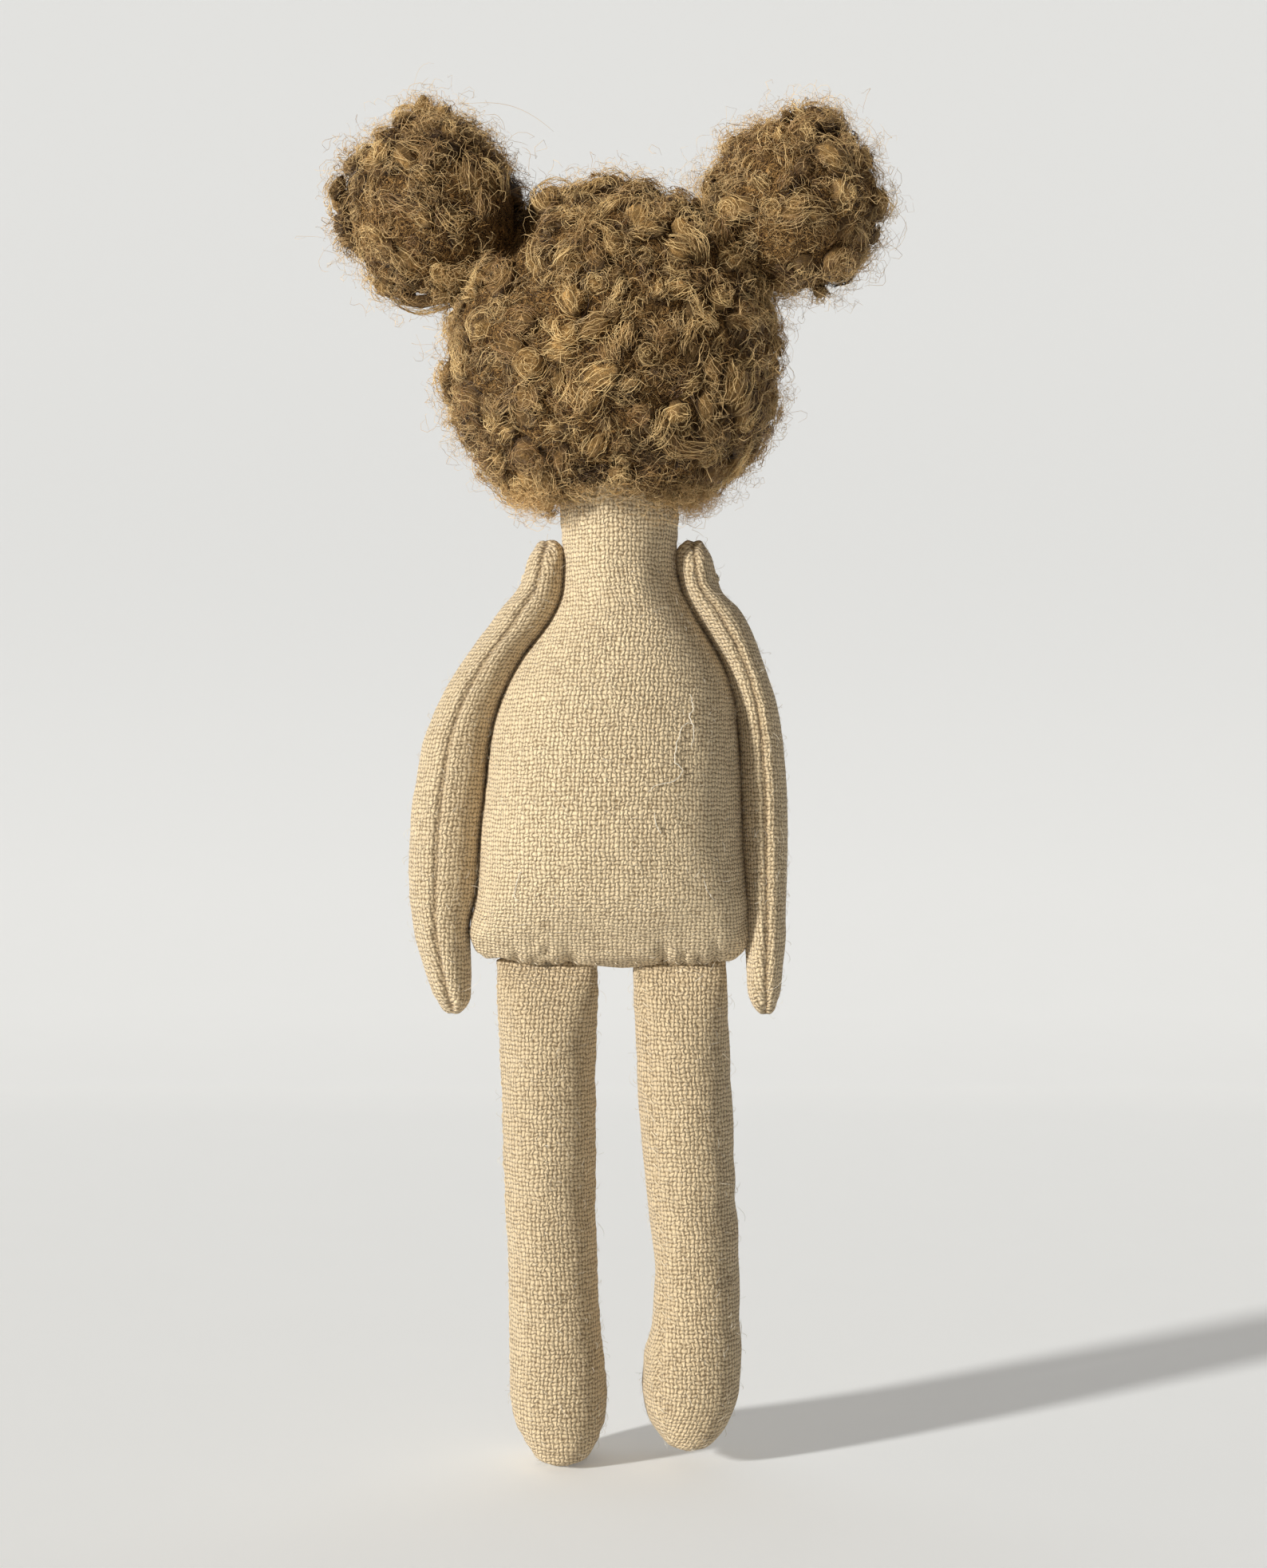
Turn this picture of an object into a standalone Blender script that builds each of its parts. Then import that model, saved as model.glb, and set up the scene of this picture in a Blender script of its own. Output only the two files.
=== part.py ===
"""A small hand-sewn cloth doll with curly wool hair gathered into two buns.

Metres, +Z up. The doll faces -Y and its own left side is at +X. The origin is on the centre line of
the body at the waist, where the clip of a doll stand holds it.
Body, head, arms and legs are each two panels of linen sewn edge to edge round a wool filling.
The arms turn on one thread through both shoulders. The legs swing on the thread that closes the hem.
"""

import math

import bmesh
import bpy
from mathutils import Matrix, Vector

# Cloth, thread and fits
CLOTH = 0.0006
FIT_GAP = 0.0003
SEAM_GAP = 0.0005
STITCH_RADIUS = 0.00022
CUT_OVERRUN = 0.004
MERGE_DISTANCE = 0.000003

# Body and neck, measured from the waist
HEM_DROP = 0.0192
NECK_RISE = 0.0405
BODY_HALF_WIDTH = 0.0169
BODY_HALF_DEPTH = 0.0115
NECK_HALF_WIDTH = 0.0069
NECK_HALF_DEPTH = 0.0065
HEM_HALF_DEPTH = CLOTH + FIT_GAP + STITCH_RADIUS
HEM_SQUARENESS = 2.4
BODY_WIDTH_SHARES = (
    (0.0, 0.69), (0.03, 0.91), (0.085, 1.0), (0.23, 0.91), (0.36, 0.85),
    (0.48, 0.74), (0.60, 0.455), (0.72, 0.045), (0.80, 0.0), (1.0, 0.06),
)
BELLY_SHARES = ((0.0, 1.0), (0.3, 1.0), (0.48, 0.8), (0.60, 0.47), (0.72, 0.1), (0.8, 0.0), (1.0, 0.05))
HEM_FULLNESS_SHARES = ((0.0, 0.0), (0.03, 0.22), (0.085, 0.55), (0.14, 0.78), (0.28, 1.0), (1.0, 1.0))
BODY_RING_SHARES = (0.0, 0.015, 0.04, 0.085, 0.15, 0.26, 0.38, 0.48, 0.55, 0.62, 0.7, 0.8, 1.0)
HEM_RINGS = 2

# Head
HEAD_HALF_WIDTH = 0.0163
HEAD_HALF_DEPTH = 0.0152
HEAD_HALF_HEIGHT = 0.0174
NECK_TUCK = 0.0045
HEAD_RINGS = 7

# Face stitches
EYE_SPACING = 0.0110
EYE_DROP = 0.0012
EYE_RADIUS = 0.0010
EYE_HEIGHT = 0.0008
MOUTH_WIDTH = 0.0046
MOUTH_DROP = 0.0072
MOUTH_SAG = 0.0008
MOUTH_POINTS = 9

# Hair, sewn on as a cap, with a bun on each side
HAIR_THICKNESS = 0.0046
HAIR_LUMP = 0.0006
HAIR_DROOP = math.radians(3)
HAIR_EDGE_SHARE = 0.98
HAIR_UNDERSIDE_SHARE = 0.4
NAPE_MARGIN = 0.0012
FOREHEAD_ANGLE = math.radians(50)
FACE_HALF_ANGLE = math.radians(82)
HAIR_COLUMNS = 36
HAIR_ROWS = 12
LUMPS_AROUND = 9
LUMPS_DOWN = 7
HAIRLINE_WAVES = 16
HAIRLINE_WAVE = 0.0004
BUN_ANGLES = {"left": math.radians(52), "right": math.radians(49)}
BUN_SET_BACK = math.radians(6)
BUN_RADIUS = 0.0112
BUN_STEM_RADIUS = 0.0062
BUN_STEM_LENGTH = 0.0014
BUN_SINK = {"left": 0.0046, "right": 0.0036}
BUN_COLUMNS = 24
BUN_ROWS = 9
TIE_RADIUS = 0.0003
TIE_TURNS = 1
TIE_SPACING = 0.00045
TIE_POINTS = 16

# Arms, measured from the thread they turn on
SHOULDER_RISE = 0.0270
ARM_REACH = 0.0524
ARM_HEAD = 0.0034
ARM_HALF_THICKNESS = {"left": 0.0040, "right": 0.0031}
ARM_HALF_BREADTH = 0.0042
ARM_CLEARANCE = 0.0005
ARM_THICKNESS_SHARES = (
    (0.0, 0.0), (0.02, 0.55), (0.06, 0.74), (0.14, 0.88), (0.35, 1.0), (0.62, 0.95),
    (0.78, 0.72), (0.9, 0.55), (0.96, 0.46), (0.985, 0.4), (1.0, 0.0),
)
ARM_BREADTH_SHARES = (
    (0.0, 0.0), (0.02, 0.45), (0.06, 0.7), (0.14, 0.9), (0.35, 1.0), (0.8, 0.96),
    (0.93, 0.86), (0.97, 0.68), (0.985, 0.55), (1.0, 0.0),
)
ARM_RING_SHARES = (0.0, 0.02, 0.06, 0.14, 0.28, 0.44, 0.58, 0.68, 0.76, 0.84, 0.91, 0.96, 0.985, 1.0)
ARM_PIVOT_SHARE = ARM_REACH / (ARM_REACH + ARM_HEAD)
SHOULDER_THREAD_RADIUS = 0.0004
SHOULDER_KNOT_RADIUS = 0.0010
SHOULDER_KNOT_WIDTH = 0.0009
THREAD_SIDES = 12

# Legs, measured from the thread they swing on
LEG_LENGTH = {"left": 0.0580, "right": 0.0562}
LEG_HALF_WIDTH = 0.0060
LEG_HALF_DEPTH = 0.0054
LEG_PLACE_SHARES = {"left": 0.485207, "right": 0.461538}
LEG_LEAN = {"left": -0.0012, "right": -0.0010}
FOOT_REACH = 0.0056
TOE_TURN = {"left": math.radians(-8), "right": math.radians(8)}
LEG_SEAM_TURN = {"left": math.radians(7), "right": math.radians(42)}
LEG_WIDTH_SHARES = (
    (0.0, 0.34), (0.02, 0.55), (0.05, 0.75), (0.09, 0.88), (0.16, 0.95),
    (0.23, 0.93), (0.38, 0.86), (0.6, 0.9), (0.85, 0.95), (1.0, 1.0),
)
LEG_DEPTH_SHARES = ((0.0, 0.3), (0.02, 0.55), (0.05, 0.8), (0.1, 0.97), (0.2, 1.0), (0.38, 0.95), (0.75, 1.0))
TOE_SHARES = ((0.0, 0.5), (0.05, 0.92), (0.09, 1.0), (0.14, 0.86), (0.19, 0.45), (0.26, 0.08), (0.32, 0.0))
TOP_FLATTENING_SHARES = ((0.0, 1.0), (0.78, 1.0), (0.87, 0.78), (0.94, 0.42), (1.0, 0.0))
LEG_RING_SHARES = (0.0, 0.02, 0.05, 0.09, 0.14, 0.2, 0.28, 0.42, 0.64, 0.8, 0.9, 1.0)
LEG_FILLED_RINGS = 10
HIP_ROLL_RADIUS = 0.0012
HIP_ROLL_HALF_WIDTH = LEG_HALF_WIDTH - 2.5 * CLOTH
HIP_TONGUE_HALF_DEPTH = 0.0005
HIP_TONGUE_LENGTH = 0.0026
HIP_ROLL_ARC_POINTS = 14
LEG_TOP_HALF_DEPTH = HIP_TONGUE_HALF_DEPTH + FIT_GAP + CLOTH

RING_POINTS = 18
# Keeps the points of a bore off the points of the form that it goes through
HALF_STEP = math.pi / RING_POINTS

# Hairline and neck stitches
NECK_WAVES = 12
NECK_WAVE = 0.0003
WAVE_POINTS = 4

LINEN = ("linen", (0.62, 0.49, 0.32), 0.92)
WOOL = ("wool_filling", (0.82, 0.78, 0.70), 1.0)
HAIR = ("curly_hair", (0.27, 0.165, 0.08), 0.85)
THREAD = ("sewing_thread", (0.66, 0.54, 0.37), 0.7)
EYE_THREAD = ("eye_thread", (0.06, 0.035, 0.025), 0.6)
MOUTH_THREAD = ("mouth_thread", (0.42, 0.13, 0.11), 0.65)


def clear_scene():
    for obj in list(bpy.data.objects):
        bpy.data.objects.remove(obj)


def material(finish):
    name, colour, roughness = finish
    found = bpy.data.materials.get(name)
    if found:
        return found
    made = bpy.data.materials.new(name)
    made.use_nodes = True
    shader = made.node_tree.nodes["Principled BSDF"]
    shader.inputs["Base Color"].default_value = (*colour, 1)
    shader.inputs["Roughness"].default_value = roughness
    shader.inputs["Metallic"].default_value = 0
    return made


def place_object(name, data, finish):
    obj = bpy.data.objects.new(name, data)
    bpy.context.scene.collection.objects.link(obj)
    data.materials.append(material(finish))
    return obj


def mesh_object(name, mesh_in_edit, finish):
    mesh = bpy.data.meshes.new(name)
    mesh_in_edit.to_mesh(mesh)
    mesh_in_edit.free()
    mesh.shade_smooth()
    return place_object(name, mesh, finish)


def tube_object(name, points, radius, finish, closed=False):
    """A thread: a round tube of six sides along a line of points."""
    curve = bpy.data.curves.new(name, "CURVE")
    curve.dimensions = "3D"
    curve.bevel_depth = radius
    curve.bevel_resolution = 1
    curve.use_fill_caps = not closed
    spline = curve.splines.new("POLY")
    spline.points.add(len(points) - 1)
    for spot, point in zip(spline.points, points):
        spot.co = (*point, 1)
    spline.use_cyclic_u = closed
    return place_object(name, curve, finish)


def hide_as_cutter(obj):
    obj.hide_render = True
    obj.display_type = "WIRE"
    return obj


def place_empty(name, location):
    empty = bpy.data.objects.new(name, None)
    bpy.context.scene.collection.objects.link(empty)
    empty.location = location
    return empty


def hang(pivot, build):
    """Parents all that build makes to the pivot, an empty on a joint's axis, and leaves it in place."""
    before = set(bpy.data.objects)
    result = build()
    for obj in set(bpy.data.objects) - before:
        if obj.parent is None:
            obj.parent = pivot
            obj.matrix_parent_inverse = Matrix.Translation(-pivot.location)
    return result


def cut(obj, cutter):
    modifier = obj.modifiers.new(f"Cut by {cutter.name}", "BOOLEAN")
    modifier.operation = "DIFFERENCE"
    modifier.object = cutter


def smooth(pairs, place):
    """The value at a place on the smooth curve, with no overshoot, through (place, value) pairs."""
    places, values = zip(*pairs)
    if place <= places[0]:
        return values[0]
    if place >= places[-1]:
        return values[-1]
    k = max(i for i, p in enumerate(places[:-1]) if p <= place)
    steps = [(values[i + 1] - values[i]) / (places[i + 1] - places[i]) for i in range(len(pairs) - 1)]

    def slope(i):
        if i in (0, len(steps)):
            return steps[min(i, len(steps) - 1)]
        before, after = steps[i - 1], steps[i]
        return 2 * before * after / (before + after) if before * after > 0 else 0

    width = places[k + 1] - places[k]
    t = (place - places[k]) / width
    start, end = values[k], values[k + 1]
    return (
        start * (1 + 2 * t) * (1 - t) ** 2
        + slope(k) * width * t * (1 - t) ** 2
        + end * t * t * (3 - 2 * t)
        + slope(k + 1) * width * t * t * (t - 1)
    )


def mix(low, high, share):
    return low + (high - low) * share


def ring(height, half_width, front, back, centre_x=0, turn=0, squareness=2.0):
    """A level ring of points, anticlockwise from +X. Front is its reach towards -Y, back towards +Y."""
    points = []
    for k in range(RING_POINTS):
        angle = 2 * math.pi * k / RING_POINTS
        across, along = math.cos(angle), math.sin(angle)
        x = half_width * math.copysign(abs(across) ** (2 / squareness), across)
        y = (back if along > 0 else front) * math.copysign(abs(along) ** (2 / squareness), along)
        turned = Matrix.Rotation(turn, 2) @ Vector((x, y))
        points.append(Vector((turned.x + centre_x, turned.y, height)))
    return points


def is_pole(points):
    return (points[0] - points[len(points) // 2]).length < FIT_GAP


def closed_form(name, rings, finish, shrink=0.0):
    """A solid through the rings, with flat ends where they don't close to a pole, and all of its
    surface moved inwards by shrink."""
    edit = bmesh.new()
    rows = [[edit.verts.new(point) for point in points] for points in rings]
    for lower, upper in zip(rows, rows[1:]):
        for k in range(len(lower)):
            edit.faces.new((lower[k - 1], lower[k], upper[k], upper[k - 1]))
    for end in (rows[0], rows[-1]):
        edit.faces.new(end)
    bmesh.ops.remove_doubles(edit, verts=edit.verts, dist=MERGE_DISTANCE)
    bmesh.ops.dissolve_degenerate(edit, edges=edit.edges, dist=MERGE_DISTANCE)
    bmesh.ops.triangulate(edit, faces=edit.faces, quad_method="FIXED")
    bmesh.ops.recalc_face_normals(edit, faces=edit.faces)
    edit.normal_update()
    for point, normal in [(vert, vert.normal.copy()) for vert in edit.verts]:
        point.co -= normal * shrink
    return mesh_object(name, edit, finish)


def filling(name, rings):
    return closed_form(name, rings, WOOL, shrink=CLOTH + FIT_GAP)


def past_the_ends(rings):
    """The rings with each open end moved out past itself, for the space inside a form."""
    longer = [[point.copy() for point in points] for points in rings]
    for end, sign in ((longer[0], -1), (longer[-1], 1)):
        if not is_pole(end):
            for point in end:
                point.z += sign * CUT_OVERRUN
    return longer


def centre(points):
    return (points[0] + points[RING_POINTS // 2]) / 2


def seam_cutter(name, rings, angle):
    """The far side of a form from one panel. Its face runs down the middle of the rings at an angle
    turned from +X towards +Y, and stands half a seam's gap inside the panel's edges."""
    along = Vector((math.cos(angle), math.sin(angle), 0))
    inwards = Vector((-math.sin(angle), math.cos(angle), 0))
    reach = 2 * max((point - centre(points)).length for points in rings for point in points)
    rows = []
    for points in rings:
        middle = centre(points) + inwards * SEAM_GAP / 2
        far = middle - inwards * reach
        rows.append([middle - along * reach, middle + along * reach, far + along * reach, far - along * reach])
    for row, sign in ((rows[0], -1), (rows[-1], 1)):
        for point in row:
            point.z += sign * CUT_OVERRUN
    return hide_as_cutter(closed_form(name, rows, LINEN))


def panels(form, rings, angle, names):
    """The two cloth panels of a form: the first lies to the left of the seam's angle."""
    longer = past_the_ends(rings)
    inside = hide_as_cutter(closed_form(f"{form}_inside", longer, LINEN, shrink=CLOTH))
    made = []
    for name, turned in zip(names, (angle, angle + math.pi)):
        cloth = closed_form(name, rings, LINEN)
        cut(cloth, inside)
        cut(cloth, seam_cutter(f"{name}_seam", longer, turned))
        made.append(cloth)
    return made


# Body


def body_share(height):
    return (height + HEM_DROP) / (HEM_DROP + NECK_RISE)


def body_half_width(height):
    return mix(NECK_HALF_WIDTH, BODY_HALF_WIDTH, smooth(BODY_WIDTH_SHARES, body_share(height)))


def body_half_depth(height):
    share = body_share(height)
    full = mix(NECK_HALF_DEPTH, BODY_HALF_DEPTH, smooth(BELLY_SHARES, share))
    return mix(HEM_HALF_DEPTH, full, smooth(HEM_FULLNESS_SHARES, share))


def body_rings():
    rings = []
    for share in BODY_RING_SHARES:
        height = mix(-HEM_DROP, NECK_RISE, share)
        depth = body_half_depth(height)
        flatness = 1 - smooth(HEM_FULLNESS_SHARES, share)
        rings.append(ring(height, body_half_width(height), depth, depth, squareness=2 + HEM_SQUARENESS * flatness))
    return rings


def build_body(thread_cutter):
    rings = body_rings()
    cloth = panels("body", rings, 0, ("body_back_panel", "body_front_panel"))
    for piece in cloth + [filling("body_filling", rings[HEM_RINGS:])]:
        cut(piece, thread_cutter)


# Head and face


def neck_opening_angle():
    """The angle from the crown at which the head opens for the neck."""
    room = FIT_GAP + CLOTH
    wide = (body_half_width(NECK_RISE) + room) / HEAD_HALF_WIDTH
    deep = (body_half_depth(NECK_RISE) + room) / HEAD_HALF_DEPTH
    return math.pi - math.asin(max(wide, deep))


def head_rim():
    """The height of the lower edge of the head, which the neck reaches past by its tuck."""
    return NECK_RISE - NECK_TUCK


def head_centre():
    return head_rim() - HEAD_HALF_HEIGHT * math.cos(neck_opening_angle())


def head_point(angle, around, out=0.0):
    """A point on the head at an angle from the crown, turned round from the back of the head (+Y)
    towards the left side, and moved out from the surface."""
    return Vector((
        (HEAD_HALF_WIDTH + out) * math.sin(angle) * math.sin(around),
        (HEAD_HALF_DEPTH + out) * math.sin(angle) * math.cos(around),
        head_centre() + (HEAD_HALF_HEIGHT + out) * math.cos(angle),
    ))


def head_rings():
    opening = neck_opening_angle()
    rings = []
    for k in range(HEAD_RINGS, -1, -1):
        angle = opening * k / HEAD_RINGS
        depth = HEAD_HALF_DEPTH * math.sin(angle)
        height = head_centre() + HEAD_HALF_HEIGHT * math.cos(angle)
        rings.append(ring(height, HEAD_HALF_WIDTH * math.sin(angle), depth, depth))
    return rings


def neck_socket_cutter():
    """The space that the neck takes inside the filling of the head."""
    half_width = body_half_width(NECK_RISE) + FIT_GAP
    half_depth = body_half_depth(NECK_RISE) + FIT_GAP
    heights = (NECK_RISE - 2 * CUT_OVERRUN, NECK_RISE + FIT_GAP)
    rings = [ring(height, half_width, half_depth, half_depth) for height in heights]
    return hide_as_cutter(closed_form("neck_socket_cutter", rings, WOOL))


def build_head():
    rings = head_rings()
    panels("head", rings, 0, ("head_back_panel", "face_panel"))
    cut(filling("head_filling", rings), neck_socket_cutter())


def face_point(x, drop, out):
    """The point of the face at x, this far below the middle of the head, and out from the cloth."""
    side = x / HEAD_HALF_WIDTH
    down = -drop / HEAD_HALF_HEIGHT
    front = -math.sqrt(1 - side**2 - down**2)
    surface = Vector((x, HEAD_HALF_DEPTH * front, head_centre() - drop))
    normal = Vector((side / HEAD_HALF_WIDTH, front / HEAD_HALF_DEPTH, down / HEAD_HALF_HEIGHT)).normalized()
    return surface + normal * out, normal


def build_face():
    for side, x in (("left", EYE_SPACING / 2), ("right", -EYE_SPACING / 2)):
        edit = bmesh.new()
        bmesh.ops.create_uvsphere(edit, u_segments=12, v_segments=6, radius=EYE_RADIUS)
        bmesh.ops.scale(edit, vec=(1, 1, EYE_HEIGHT / (2 * EYE_RADIUS)), verts=edit.verts)
        eye = mesh_object(f"{side}_eye_knot", edit, EYE_THREAD)
        eye.location, normal = face_point(x, EYE_DROP, FIT_GAP + EYE_HEIGHT / 2)
        eye.rotation_euler = normal.to_track_quat("Z", "Y").to_euler()
    line = []
    for k in range(MOUTH_POINTS):
        share = 2 * k / (MOUTH_POINTS - 1) - 1
        drop = MOUTH_DROP + MOUTH_SAG * (1 - share**2)
        line.append(face_point(share * MOUTH_WIDTH / 2, drop, FIT_GAP + STITCH_RADIUS)[0])
    tube_object("mouth_stitch", line, STITCH_RADIUS, MOUTH_THREAD)


# Hair


def hairline_angle(around):
    """The angle from the crown of the hair's edge: high over the forehead, low round sides and nape."""
    nape = neck_opening_angle() - NAPE_MARGIN / HEAD_HALF_HEIGHT
    from_front = math.pi - abs(math.remainder(around, 2 * math.pi))
    share = min(from_front / FACE_HALF_ANGLE, 1)
    return mix(FOREHEAD_ANGLE, nape, share**3 * (10 - 15 * share + 6 * share**2))


def lump(down, around):
    """Curls standing out of the hair, from -1 to 1, in rows that are staggered and fade at the crown."""
    row = LUMPS_DOWN * down
    stagger = math.sin(LUMPS_AROUND * around + math.pi * math.floor(row))
    return min(row, 1) * stagger * math.sin(math.pi * (row % 1))


def hair_row(down, droop, thickness_at):
    """A row of points round the hair, at a share of the way down from the crown to the hairline."""
    row = []
    for column in range(HAIR_COLUMNS):
        around = 2 * math.pi * column / HAIR_COLUMNS
        angle = down * hairline_angle(around) + droop
        row.append(head_point(angle, around, FIT_GAP + thickness_at(around)))
    return row


def hair_surface():
    """Rows of the outside of the hair, from the crown to the edge that hangs past the hairline."""
    rows = []
    for k in range(HAIR_ROWS + 1):
        down = k / HAIR_ROWS
        full = math.sqrt(1 - (HAIR_EDGE_SHARE * down) ** HAIR_ROWS)

        def thickness(around, full=full, down=down):
            return full * (HAIR_THICKNESS + HAIR_LUMP * lump(down, around))

        rows.append(hair_row(down, HAIR_DROOP * down**HAIR_ROWS, thickness))
    return rows


def build_hair_cap():
    underside = hair_row(1, 0, lambda around: HAIR_THICKNESS * HAIR_UNDERSIDE_SHARE)
    inside = [hair_row(k / HAIR_ROWS, 0, lambda around: 0) for k in range(HAIR_ROWS, -1, -1)]
    closed_form("hair_cap", hair_surface() + [underside] + inside, HAIR)


def hair_cutter():
    """The outside of the hair, one fit larger, closed straight across the face."""
    rows = hair_surface()
    middle = sum(rows[-1], Vector()) / HAIR_COLUMNS
    return hide_as_cutter(closed_form("hair_cutter", rows + [[middle] * HAIR_COLUMNS], HAIR, shrink=-FIT_GAP))


def build_hairline_stitches():
    line = []
    for k in range(HAIRLINE_WAVES * WAVE_POINTS):
        around = 2 * math.pi * k / (HAIRLINE_WAVES * WAVE_POINTS)
        wave = HAIRLINE_WAVE * (1 + math.sin(2 * math.pi * k / WAVE_POINTS))
        below = FIT_GAP + STITCH_RADIUS + wave
        angle = hairline_angle(around) + below / HEAD_HALF_DEPTH
        line.append(head_point(angle, around, FIT_GAP + STITCH_RADIUS))
    tube_object("hairline_stitches", line, STITCH_RADIUS, THREAD, closed=True)


def build_bun(side, cutter):
    """A ball of curls on a gathered stem, with the tie wound round the stem."""
    sign = 1 if side == "left" else -1
    tilt = BUN_ANGLES[side]
    around = sign * (math.pi / 2 - BUN_SET_BACK)
    seat = head_point(tilt, around, FIT_GAP + HAIR_THICKNESS)
    axis = (seat - Vector((0, 0, head_centre()))).normalized()
    turn = axis.to_track_quat("Z", "Y")

    base = place_empty(f"{side}_bun_seat", seat)
    base.rotation_euler = turn.to_euler()

    def level(height, radius, lumpy):
        row = []
        for column in range(BUN_COLUMNS):
            angle = 2 * math.pi * column / BUN_COLUMNS
            stands = radius + lumpy * HAIR_LUMP * math.sin(LUMPS_DOWN * angle + height / BUN_RADIUS * math.tau)
            row.append(Vector((stands * math.cos(angle), stands * math.sin(angle), height)))
        return row

    ball_centre = BUN_STEM_LENGTH + BUN_SINK[side]
    first = math.acos(-BUN_SINK[side] / BUN_RADIUS)
    rows = [
        level(-HAIR_THICKNESS / 2, BUN_STEM_RADIUS, 0),
        level(BUN_STEM_LENGTH, BUN_STEM_RADIUS, 0),
    ]
    for k in range(BUN_ROWS):
        angle = first * (1 - k / BUN_ROWS)
        lumpy = 0 if k == 0 else math.sin(angle)
        rows.append(level(ball_centre + BUN_RADIUS * math.cos(angle), BUN_RADIUS * math.sin(angle), lumpy))
    rows.append(level(ball_centre + BUN_RADIUS, 0, 0))
    bun = closed_form(f"{side}_bun", rows, HAIR)
    bun.parent = base
    cut(bun, cutter)

    wound = BUN_STEM_RADIUS + FIT_GAP + TIE_RADIUS
    pitch = 2 * TIE_RADIUS + TIE_SPACING
    top = BUN_STEM_LENGTH - FIT_GAP - TIE_RADIUS
    line = []
    for k in range(TIE_TURNS * TIE_POINTS + 1):
        angle = 2 * math.pi * k / TIE_POINTS
        line.append(Vector((wound * math.cos(angle), wound * math.sin(angle), top - pitch * k / TIE_POINTS)))
    tie = tube_object(f"{side}_bun_tie", line, TIE_RADIUS, THREAD)
    tie.parent = base


# Arms and the thread through the shoulders


def arm_ring_data(side, share):
    """Height, inner edge and half thickness of the arm, at a share of its length from the hand."""
    height = mix(SHOULDER_RISE - ARM_REACH, SHOULDER_RISE + ARM_HEAD, share)
    half = ARM_HALF_THICKNESS[side] * smooth(ARM_THICKNESS_SHARES, share)
    widest = mix(-HEM_DROP, NECK_RISE, BODY_WIDTH_SHARES[2][0])
    inner = body_half_width(max(height, widest)) + ARM_CLEARANCE
    return height, inner, half


def arm_rings(side):
    sign = 1 if side == "left" else -1
    rings = []
    for share in ARM_RING_SHARES:
        height, inner, half = arm_ring_data(side, share)
        breadth = ARM_HALF_BREADTH * smooth(ARM_BREADTH_SHARES, share)
        rings.append(ring(height, half, breadth, breadth, centre_x=sign * (inner + half)))
    return rings


def shoulder_thread_cutter():
    """A bar along the shoulder thread that leaves it a running fit."""
    rings = []
    for height in (-BODY_HALF_WIDTH - CUT_OVERRUN, BODY_HALF_WIDTH + CUT_OVERRUN):
        radius = SHOULDER_THREAD_RADIUS + FIT_GAP
        rings.append(ring(height, radius, radius, radius, turn=HALF_STEP))
    bar = closed_form("shoulder_thread_cutter", rings, THREAD)
    lay_across(bar, SHOULDER_RISE)
    return hide_as_cutter(bar)


def lay_across(obj, height):
    """Turns a piece made along Z to lie along X at this height."""
    obj.rotation_euler = (0, math.pi / 2, 0)
    obj.location = (0, 0, height)


def build_arm(side, thread_cutter):
    sign = 1 if side == "left" else -1
    pivot = place_empty(f"{side}_shoulder", (sign * arm_ring_data(side, ARM_PIVOT_SHARE)[1], 0, SHOULDER_RISE))
    hang(pivot, lambda: build_arm_pieces(side, thread_cutter))


def build_arm_pieces(side, thread_cutter):
    rings = arm_rings(side)
    angle = -math.pi / 2 if side == "left" else math.pi / 2
    cloth = panels(f"{side}_arm", rings, angle, (f"{side}_arm_outer_panel", f"{side}_arm_inner_panel"))
    for piece in cloth + [filling(f"{side}_arm_filling", rings)]:
        cut(piece, thread_cutter)


def arm_outside_at_knot(side):
    """How far out the arm stands at the lower edge of the knot."""
    share = ARM_PIVOT_SHARE - SHOULDER_KNOT_RADIUS / (ARM_REACH + ARM_HEAD)
    _, inner, half = arm_ring_data(side, share)
    return inner + 2 * half


def build_shoulder_thread():
    """One thread through arm, body and arm, with a flat knot on the outside of each arm."""
    rows = []

    def level(place, radius):
        angles = [2 * math.pi * k / THREAD_SIDES for k in range(THREAD_SIDES)]
        rows.append([Vector((radius * math.cos(a), radius * math.sin(a), place)) for a in angles])

    left = arm_outside_at_knot("left") + FIT_GAP
    right = arm_outside_at_knot("right") + FIT_GAP
    rim = SHOULDER_KNOT_RADIUS / 2
    level(-right - SHOULDER_KNOT_WIDTH, rim)
    level(-right - SHOULDER_KNOT_WIDTH / 2, SHOULDER_KNOT_RADIUS)
    level(-right, rim + SHOULDER_THREAD_RADIUS / 2)
    level(-right, SHOULDER_THREAD_RADIUS)
    level(left, SHOULDER_THREAD_RADIUS)
    level(left, rim + SHOULDER_THREAD_RADIUS / 2)
    level(left + SHOULDER_KNOT_WIDTH / 2, SHOULDER_KNOT_RADIUS)
    level(left + SHOULDER_KNOT_WIDTH, rim)
    lay_across(closed_form("shoulder_thread", rows, THREAD), SHOULDER_RISE)


# Legs and the thread that closes the hem


def hip_height():
    """The legs swing on a thread just under the hem."""
    return -HEM_DROP - FIT_GAP - HIP_ROLL_RADIUS


def leg_top_x(side):
    out = LEG_PLACE_SHARES[side] * BODY_HALF_WIDTH
    return out if side == "left" else -out


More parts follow.
